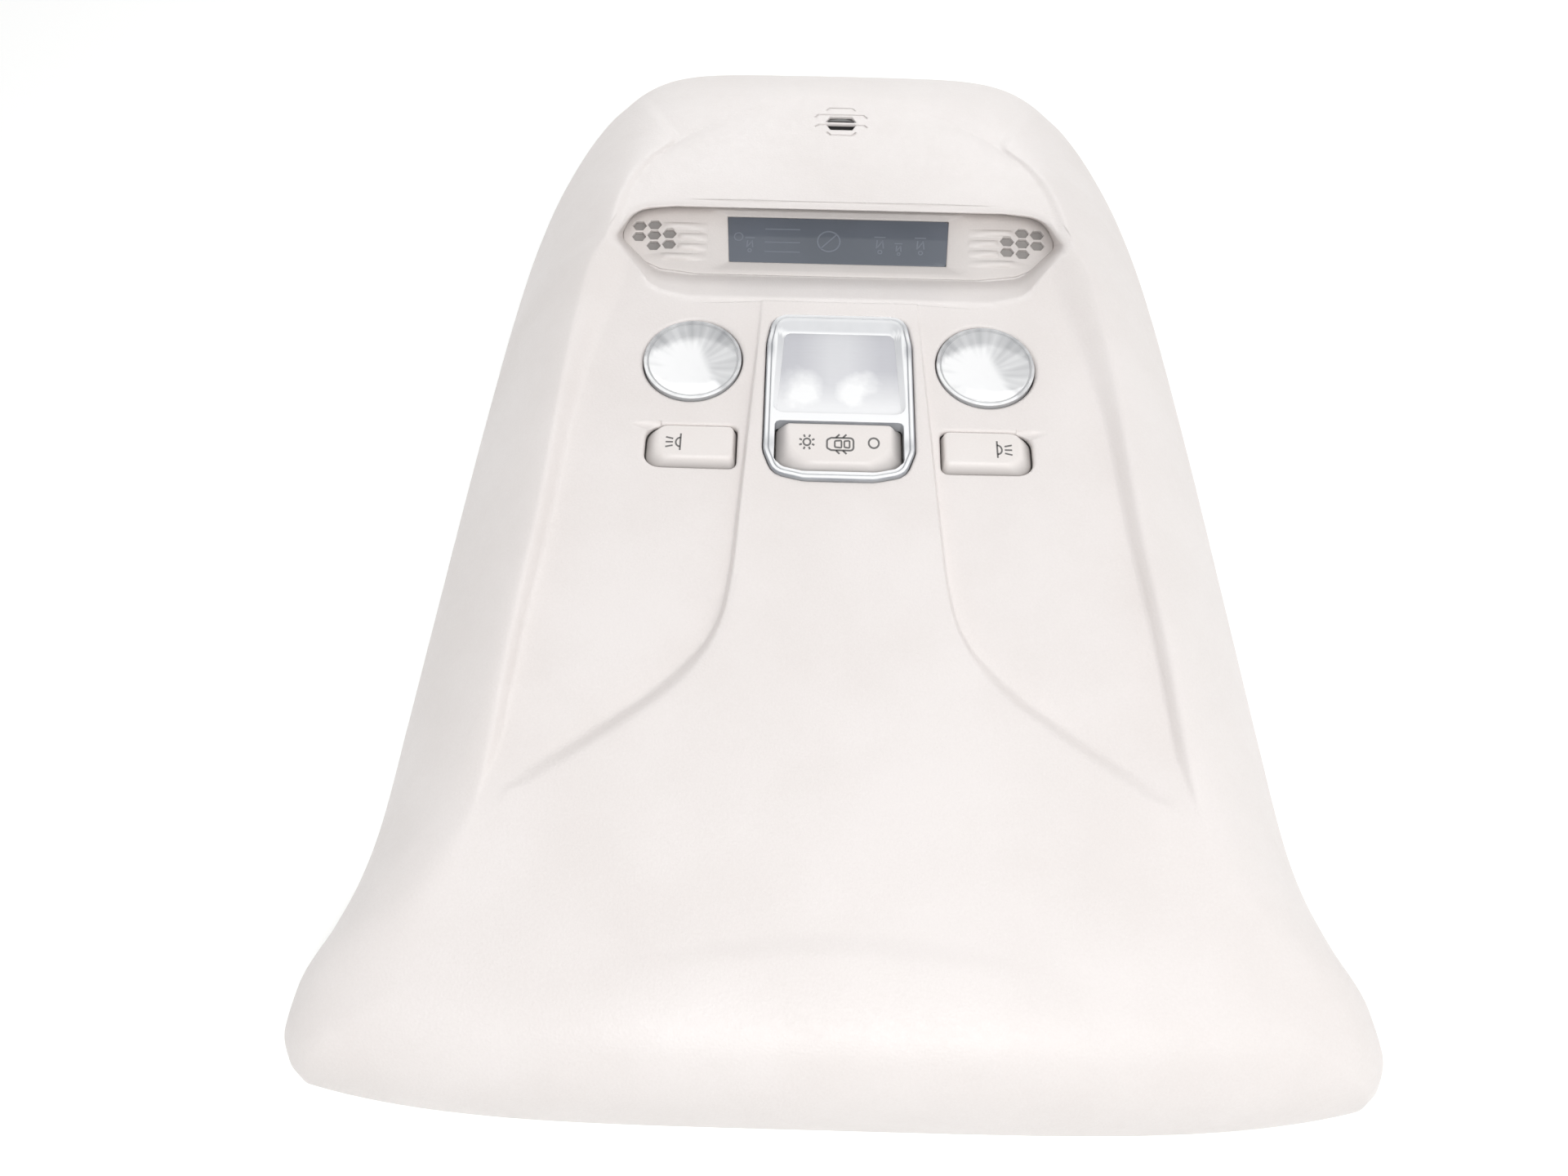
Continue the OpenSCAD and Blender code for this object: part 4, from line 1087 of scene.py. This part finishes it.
def lamp_marks(cx, cy, z, way):
    """A lamp bowl with three rays; way is the side the rays point to."""
    parts = [stroke([(cx - way * 0.9, cy - 2.7), (cx - way * 0.9, cy + 2.9)], 0.58, z)]
    a = np.radians(np.linspace(-90, 90, 11))
    bowl = np.column_stack([cx - way * 0.9 + way * 1.5 * np.cos(a), cy + 1.5 * np.sin(a)])
    parts.append(stroke(bowl, 0.55, z))
    for dy in (-1.25, 0.0, 1.25):
        parts.append(stroke([(cx + way * 1.5, cy + dy * 0.9), (cx + way * 3.9, cy + dy * 1.3)], 0.52, z))
    return parts


def taller(part, middle):
    """The marks drawn a sixth taller than wide, about a line."""
    v, f = part
    return np.column_stack([v[:, 0], middle + (v[:, 1] - middle) * 1.17, v[:, 2]]), f


def pictograms():
    z = flat_at(ROCK_Z)
    marks = sun_marks(-10.4, -9.9, z) + car_marks(0.5, -10.4, z)
    marks.append(stroke(disc(11.2, -9.8, 1.65), 0.6, z, closed=True))
    place(make("rocker_icons", taller(joined(marks), -10), "icon_ink"), "dome_switch", "black_plastic")
    for side, way in (("left", -1), ("right", 1)):
        bowl = joined(lamp_marks(way * 52.4, -9.4, flat_at(KEY_TOP), way))
        place(make(f"{side}_key_icon", taller(bowl, -9.4), "icon_ink"), f"{side}_button", "black_plastic")


# ---- display
CELLS = [(74.4, 7.0), (74.4, 2.5), (68.8, 7.6), (68.8, 3.3), (68.8, -1.1), (63.1, 4.0), (63.1, -0.4)]
CELL_W, CELL_H, CELL_FLARE = 5.35, 3.7, 0.15
RIB_X, RIB_HALF, RIB_HIGH = 46.5, 1.6, 1.1
RIBS = ((7.2, 65.6), (2.8, 60.0), (-1.5, 60.0), (-5.6, 66.4))
GLASS_TOP = -2.02
FIGURE = (  # strokes of a seated figure with a slanting belt: two ends and the width
    ((-1.3, -1.6), (-1.0, 1.9), 0.5), ((1.3, -1.6), (1.0, 1.9), 0.5),
    ((-1.0, -1.2), (0.9, 1.4), 0.45), ((-2.1, 3.1), (2.1, 3.1), 0.45),
)


def hex_cell(cx, cy):
    """A cutter for one hexagon cell, flared at the face."""
    w, h = CELL_W, CELL_H
    o = rounded([(cx - w / 2, cy), (cx - w / 4, cy - h / 2), (cx + w / 4, cy - h / 2), (cx + w / 2, cy),
                 (cx + w / 4, cy + h / 2), (cx - w / 4, cy + h / 2)], 0.35, 3)
    wide = grow(o, CELL_FLARE)
    return loft([ring_at(o, -6), ring_at(o, -CELL_FLARE), ring_at(wide, 0.02), ring_at(wide, 2)])


def louvre(y, x_far):
    """A low rounded rib beside the hexagon cells, fading out at both of its ends."""
    v = np.linspace(-RIB_HALF, RIB_HALF, 13)
    rings = []
    for u in np.linspace(0, 1, 15):
        x = RIB_X + (x_far - RIB_X) * u
        high = RIB_HIGH * float(ease(u / 0.7) * ease((1 - u) / 0.12))
        back = np.column_stack([np.full(13, x), y + v, high * (1 - (v / RIB_HALF) ** 2) - 0.04])
        rings.append(np.vstack([back[::-1], [[x, y - RIB_HALF, -0.6], [x, y + RIB_HALF, -0.6]]]))
    return loft(rings)


def display_insert():
    """The insert that frames the display: sunk well, window opening, hexagon cells and ribs at both ends."""
    plate = cushion(spaced(insert_outline, 160), -INSERT_T, 0, 0.4)
    flange = prism(grow(insert_outline, 1.1), -INSERT_T - 1.4, -INSERT_T + 0.01)
    obj = make("display_insert", on_display(plate), "bezel_plastic")
    ribs = both(joined([louvre(y, far) for y, far in RIBS]))
    solid_op(obj, [on_display(flange), on_display(ribs)], "UNION")
    foot = tapered(40.45, -6.0, 41.6, 12.8, 0.3, 5)
    shelf = tapered(44.4, -9.2, 45.4, 13.8, 1.6, 5)
    lip = tapered(48.4, -10.6, 49, 14.4, 3.0, 5)
    sides = bezier(ring_at(grow(foot, 0.55), -1.62), ring_at(shelf, -0.45), ring_at(lip, 0.03), 9)
    well = loft([ring_at(foot, -2.2), ring_at(foot, -2.0)] + sides + [ring_at(lip, 2.0)])
    through = prism(tapered(40.85, -6.4, 42.1, 13.2, 0.3, 3), -6, -1.99)
    grille = [hex_cell(x, y) for x, y in CELLS] + [prism(disc(68.8, 3.2, 10.2, 40), -6, -1.3)]
    cuts = [well, through] + grille + [mirrored(cut) for cut in grille]
    solid_op(obj, [on_display(cut) for cut in cuts], "DIFFERENCE")
    shade(obj, 30)
    place(obj, "base", "bezel_plastic", "display_bezel")
    cloth = both(cushion(disc(68.8, 3.2, 9.9, 40), -2.6, -1.4, 0.2))
    place(make("grille_cloth", on_display(cloth), "acoustic_cloth"), "base", "black_plastic")


def display_glass():
    """The smoked display face with faint marks: a ring with a bar, belted figures and plain lines."""
    glass = cushion(spaced(tapered(40.5, -6.05, 41.75, 12.85, 0.3, 3), 120), -3.9, GLASS_TOP, 0.1)
    place(make("display_glass", on_display(glass), "smoked_window"), "base", "smoked_window", "display_window")
    drawn = [(disc(-3.4, 3.4, 4.2), 0.55), ([(-6.3, 0.5), (-0.5, 6.3)], 0.5)]
    for cx, cy, s in ((15.8, 2.6, 1.0), (22.8, 1.0, 0.7), (31.0, 2.6, 1.0), (-33.0, 1.6, 0.85)):
        drawn.append((disc(cx, cy - 3.1 * s, 0.75 * s), 0.4))
        for a, b, width in FIGURE:
            drawn.append(([(cx + x * s, cy + y * s) for x, y in (a, b)], width))
    drawn.append((disc(-37.3, 4.6, 1.6), 0.4))
    drawn += [([(-27.4, y), (-14.2, y)], 0.42) for y in (8.1, 2.6, -1.4)]
    marks = [stroke(path, width, flat_at(GLASS_TOP), 0, 0.03, len(path) > 2) for path, width in drawn]
    place(make("display_marks", on_display(joined(marks)), "faint_marks"), "base", "smoked_window")


# ---- lamps
def dome_lamp_lens():
    """The clear dome lens: rolled rim, bead, sloping sides down to a flat window and the rocker's opening."""
    outline = spaced(frame_outline, 140)
    body = cushion(outline, DECK_TOP, FRAME_TOP, 0.8, steps=6)
    lens = make("dome_lamp_lens", body, "clear_lens")
    floor_z = FRAME_TOP - 2.2
    foot = spaced(tapered(20.6, 1.9, 18.6, 36.2, 2.2, 6), 96)
    brim = spaced(tapered(22.0, 1.3, 20.9, 40.5, 3.6, 6), 96)
    low, high = ring_at(foot, floor_z), ring_at(brim, FRAME_TOP)
    rings = [ring_at(foot, FRAME_TOP - 6), low]
    rings += bezier(low + (high - low) * 0.06, low + (high - low) * 0.5, high + np.array([0, 0, 0.02]), 7)
    rings.append(ring_at(brim, FRAME_TOP + 2))
    bead_out, bead_in = grow(outline, -1.35), grow(outline, -1.95)
    bead = loft([ring_at(bead_out, FRAME_TOP + 1), ring_at(bead_out, FRAME_TOP - 0.1),
                 ring_at((bead_out + bead_in) / 2, FRAME_TOP - 0.45), ring_at(bead_in, FRAME_TOP - 0.1),
                 ring_at(bead_in, FRAME_TOP + 1)], closed=True)
    hollow = prism(grow(outline, -1.8), DECK_TOP - 1, FRAME_TOP - 4.8)
    corners = two_sided([(-20.95, -1.75), (-20.95, -16.9), (-18.2, -19.7), (-11.8, -21.25)])
    hole = spaced(rounded(corners, 1.6, 5), 96)
    mouth = loft([ring_at(hole, DECK_TOP - 2), ring_at(hole, FRAME_TOP - 0.3),
                  ring_at(grow(hole, 0.08), FRAME_TOP - 0.12), ring_at(grow(hole, 0.3), FRAME_TOP + 0.02),
                  ring_at(grow(hole, 0.3), FRAME_TOP + 2)])
    solid_op(lens, [loft(rings), bead, hollow, mouth], "DIFFERENCE")
    shade(lens, 28)

    def wall(x, y, z, up):
        """Painted shade: greyer on the sloping inner sides, at the frame's corners and down its outer edge."""
        inside = (np.abs(x) < 21.8) & (y > 1) & (z < FRAME_TOP - 0.05)
        slope = np.where(y > 34.5, 0.36 * ease((y - 36.3) / 0.8), 0.1 + 0.26 * ease((y - 8) / 26)) * inside
        ends = 0.22 * ease((y - 36) / 5) * (z > FRAME_TOP - 0.9)
        sunk = (~inside) & (z < FRAME_TOP - 0.15) & (z > FRAME_TOP - 0.7) & (np.abs(up) < 0.95)
        side = (~inside) & (np.abs(up) < 0.5) & (z < FRAME_TOP - 0.2)
        corner = 0.5 * np.exp(-((np.abs(x) - 22.5) ** 2 + (y - 38.5) ** 2) / 9)
        flank = 0.45 * np.exp(-((y - 28) ** 2) / 14) * (np.abs(x) > 22) + 0.35 * np.exp(-((y + 11) ** 2) / 8)
        top = np.maximum(corner, flank * (np.abs(x) > 21)) * (~inside) * (up > 0.5)
        return np.maximum(np.maximum(np.maximum(slope, ends), top), np.maximum(0.8 * sunk, 0.6 * side))

    painted_shade(lens, wall)
    place(lens, "base", "clear_lens", "dome_lens")
    pane = cushion(grow(foot, 0.2), FRAME_TOP - 4.6, floor_z, 0.35, 0.2)
    place(make("dome_window", pane, "prism_window", 28), "base", "clear_lens")


def rib_tree(name, count, step, length, radius, start, material):
    """Rounded ribs side by side, as on the underside of a lamp lens."""
    tree = bpy.data.node_groups.new(name, "GeometryNodeTree")
    face = tree.interface
    for label, kind in (("Count", "Int"), ("Step", "Float"), ("Length", "Float"), ("Radius", "Float"),
                        ("Start", "Vector")):
        face.new_socket(label, in_out="INPUT", socket_type="NodeSocket" + kind)
    face.new_socket("Ribs", in_out="OUTPUT", socket_type="NodeSocketGeometry")
    add = tree.nodes.new
    given, out = add("NodeGroupInput"), add("NodeGroupOutput")
    offset = add("ShaderNodeCombineXYZ")
    row = add("GeometryNodeMeshLine")
    rod = add("GeometryNodeMeshCylinder")
    rod.inputs["Vertices"].default_value = 10
    laid = add("GeometryNodeTransform")
    laid.inputs["Rotation"].default_value = (math.pi / 2, 0, 0)
    spread = add("GeometryNodeInstanceOnPoints")
    real = add("GeometryNodeRealizeInstances")
    smooth = add("GeometryNodeSetShadeSmooth")
    finish = add("GeometryNodeSetMaterial")
    finish.inputs["Material"].default_value = material
    for source, output, target, socket in (
        (given, "Step", offset, "X"), (given, "Count", row, "Count"), (given, "Start", row, "Start Location"),
        (offset, "Vector", row, "Offset"), (given, "Radius", rod, "Radius"), (given, "Length", rod, "Depth"),
        (rod, "Mesh", laid, "Geometry"), (row, "Mesh", spread, "Points"),
        (laid, "Geometry", spread, "Instance"), (spread, "Instances", real, "Geometry"),
        (real, "Geometry", smooth, "Geometry"), (smooth, "Geometry", finish, "Geometry"),
        (finish, "Geometry", out, "Ribs"),
    ):
        tree.links.new(source.outputs[output], target.inputs[socket])
    values = {"Count": count, "Step": step * MM, "Length": length * MM, "Radius": radius * MM,
              "Start": tuple(v * MM for v in start)}
    return grown(name, tree, values)


def grown(name, tree, values):
    """A plain mesh from a geometry tree, with its inputs set by identifier."""
    holder = into_scene(name, bpy.data.meshes.new(name))
    m = holder.modifiers.new("grow", "NODES")
    m.node_group = tree
    for item in tree.interface.items_tree:
        if item.in_out == "INPUT" and item.name in values:
            m[item.identifier] = values[item.name]
    graph = bpy.context.evaluated_depsgraph_get()
    mesh = bpy.data.meshes.new_from_object(holder.evaluated_get(graph), depsgraph=graph)
    holder.modifiers.clear()
    holder.data = mesh
    return holder


def dome_lamp_inside():
    radius = 0.58
    start = (-18.3, 18.9, FRAME_TOP - 4.8 - radius)
    ribs = rib_tree("lens_ribs", 31, 1.22, 33.0, radius, start, MATERIALS["frosted_plate"])
    place(ribs, "base", "frosted_plate")


def lens_profile():
    """Radius and height round a reading lamp's lens: a beaded rim and a shallow dished window."""
    t = LENS_TOP
    up = [(LENS_R - 1.5, DECK_TOP + 1.2), (LENS_R, DECK_TOP + 1.2), (LENS_R, t - 0.6)]
    up += [(LENS_R - 0.45 + 0.45 * math.cos(a), t - 0.5 + 0.45 * math.sin(a)) for a in np.linspace(0, 1.5, 5)]
    up += [(LENS_R - 1.0, t - 0.1), (LENS_R - 1.25, t - 0.55), (LENS_R - 1.55, t - 0.6),
           (LENS_R - 1.8, t - 0.35)]
    dish = [(r, t - 0.45 - 2.9 * (1 - (r / DISH_R) ** 2)) for r in np.linspace(DISH_R, 0.05, 14)]
    under = [(r, z - 2.0) for r, z in dish[::-1]]
    return up + dish + under + [(LENS_R - 1.5, t - 3)]


def lamp_ring(r, z, angles):
    """A ring round the right reading lamp's axis; its radius may vary with the angle."""
    return np.column_stack([LENS_X + r * np.cos(angles), LENS_Y + r * np.sin(angles),
                            np.full(len(angles), z)])


def lamp_bowl():
    """A reading lamp's reflector: a fluted bowl with a flange on the deck and a plain back."""
    angles = turns(FLUTES * 4)
    wave = np.abs(np.sin(angles * FLUTES / 2))
    rise = np.linspace(0, 1, 12)
    back = [BOWL_R + (LENS_R - 0.2 - BOWL_R) * math.sqrt(u) for u in rise]
    level = [BOWL_Z + (DECK_TOP - BOWL_Z) * u for u in rise]
    rings = [lamp_ring(r - 0.15 * wave * math.sin(math.pi * min(u + 0.1, 1)) - 0.9, z, angles)
             for r, z, u in zip(back, level, rise)]
    for r, z in ((LENS_R - 1.2, DECK_TOP + 1.2), (LENS_R + 2.4, DECK_TOP + 1.2), (LENS_R + 2.4, DECK_TOP)):
        rings.append(lamp_ring(r, z, angles))
    rings += [lamp_ring(r, z - 0.02, angles) for r, z in zip(back[::-1], level[::-1])]
    return loft(rings, closed=True)


def reading_lamps():
    angles = turns(80)
    lens = loft([lamp_ring(r, z, angles) for r, z in lens_profile()], closed=True)
    bowl = lamp_bowl()
    for side, turn in (("right", lambda p: p), ("left", mirrored)):
        cover = make(f"{side}_lamp_lens", turn(lens), "reading_lens", 40)
        middle = LENS_X if side == "right" else -LENS_X

        def painted_highlight_and_shade(x, y, z, up, middle=middle):
            """Painted highlight and shade: a bright patch off the middle, with streaked painted shade round it
            and a darker far crescent, side and rim.
            """
            u, v = (x - middle) / LENS_R, (y - LENS_Y) / LENS_R
            streak = 0.08 * (np.sin(9 * np.arctan2(v + 0.2, u + 0.1)) + np.sin(23 * np.arctan2(v, u) + 1))
            bright = ((u + 0.12) / 0.62) ** 2 + ((v + 0.16) / 0.72) ** 2
            rim = 0.6 * (np.hypot(u, v) > 0.9) * (z < LENS_TOP - 0.3)
            crescent = 0.62 * ease((v + 0.6 * u * u - 0.5) / 0.2)
            far_side = 0.36 * ease((u + 0.38 * v - 0.18) / 0.2)
            return np.maximum(np.maximum(crescent, far_side) + streak * ease((bright - 0.3) / 0.8), rim)

        painted_shade(cover, painted_highlight_and_shade)
        place(cover, "base", "clear_lens", f"{side}_map_lens")
        place(make(f"{side}_lamp_bowl", turn(bowl), "bright_metallised", 40), "base", "bright_metallised",
              f"{side}_reflector")


console_shell()
finger_pieces()
pictograms()
display_insert()
display_glass()
dome_lamp_lens()
dome_lamp_inside()
reading_lamps()
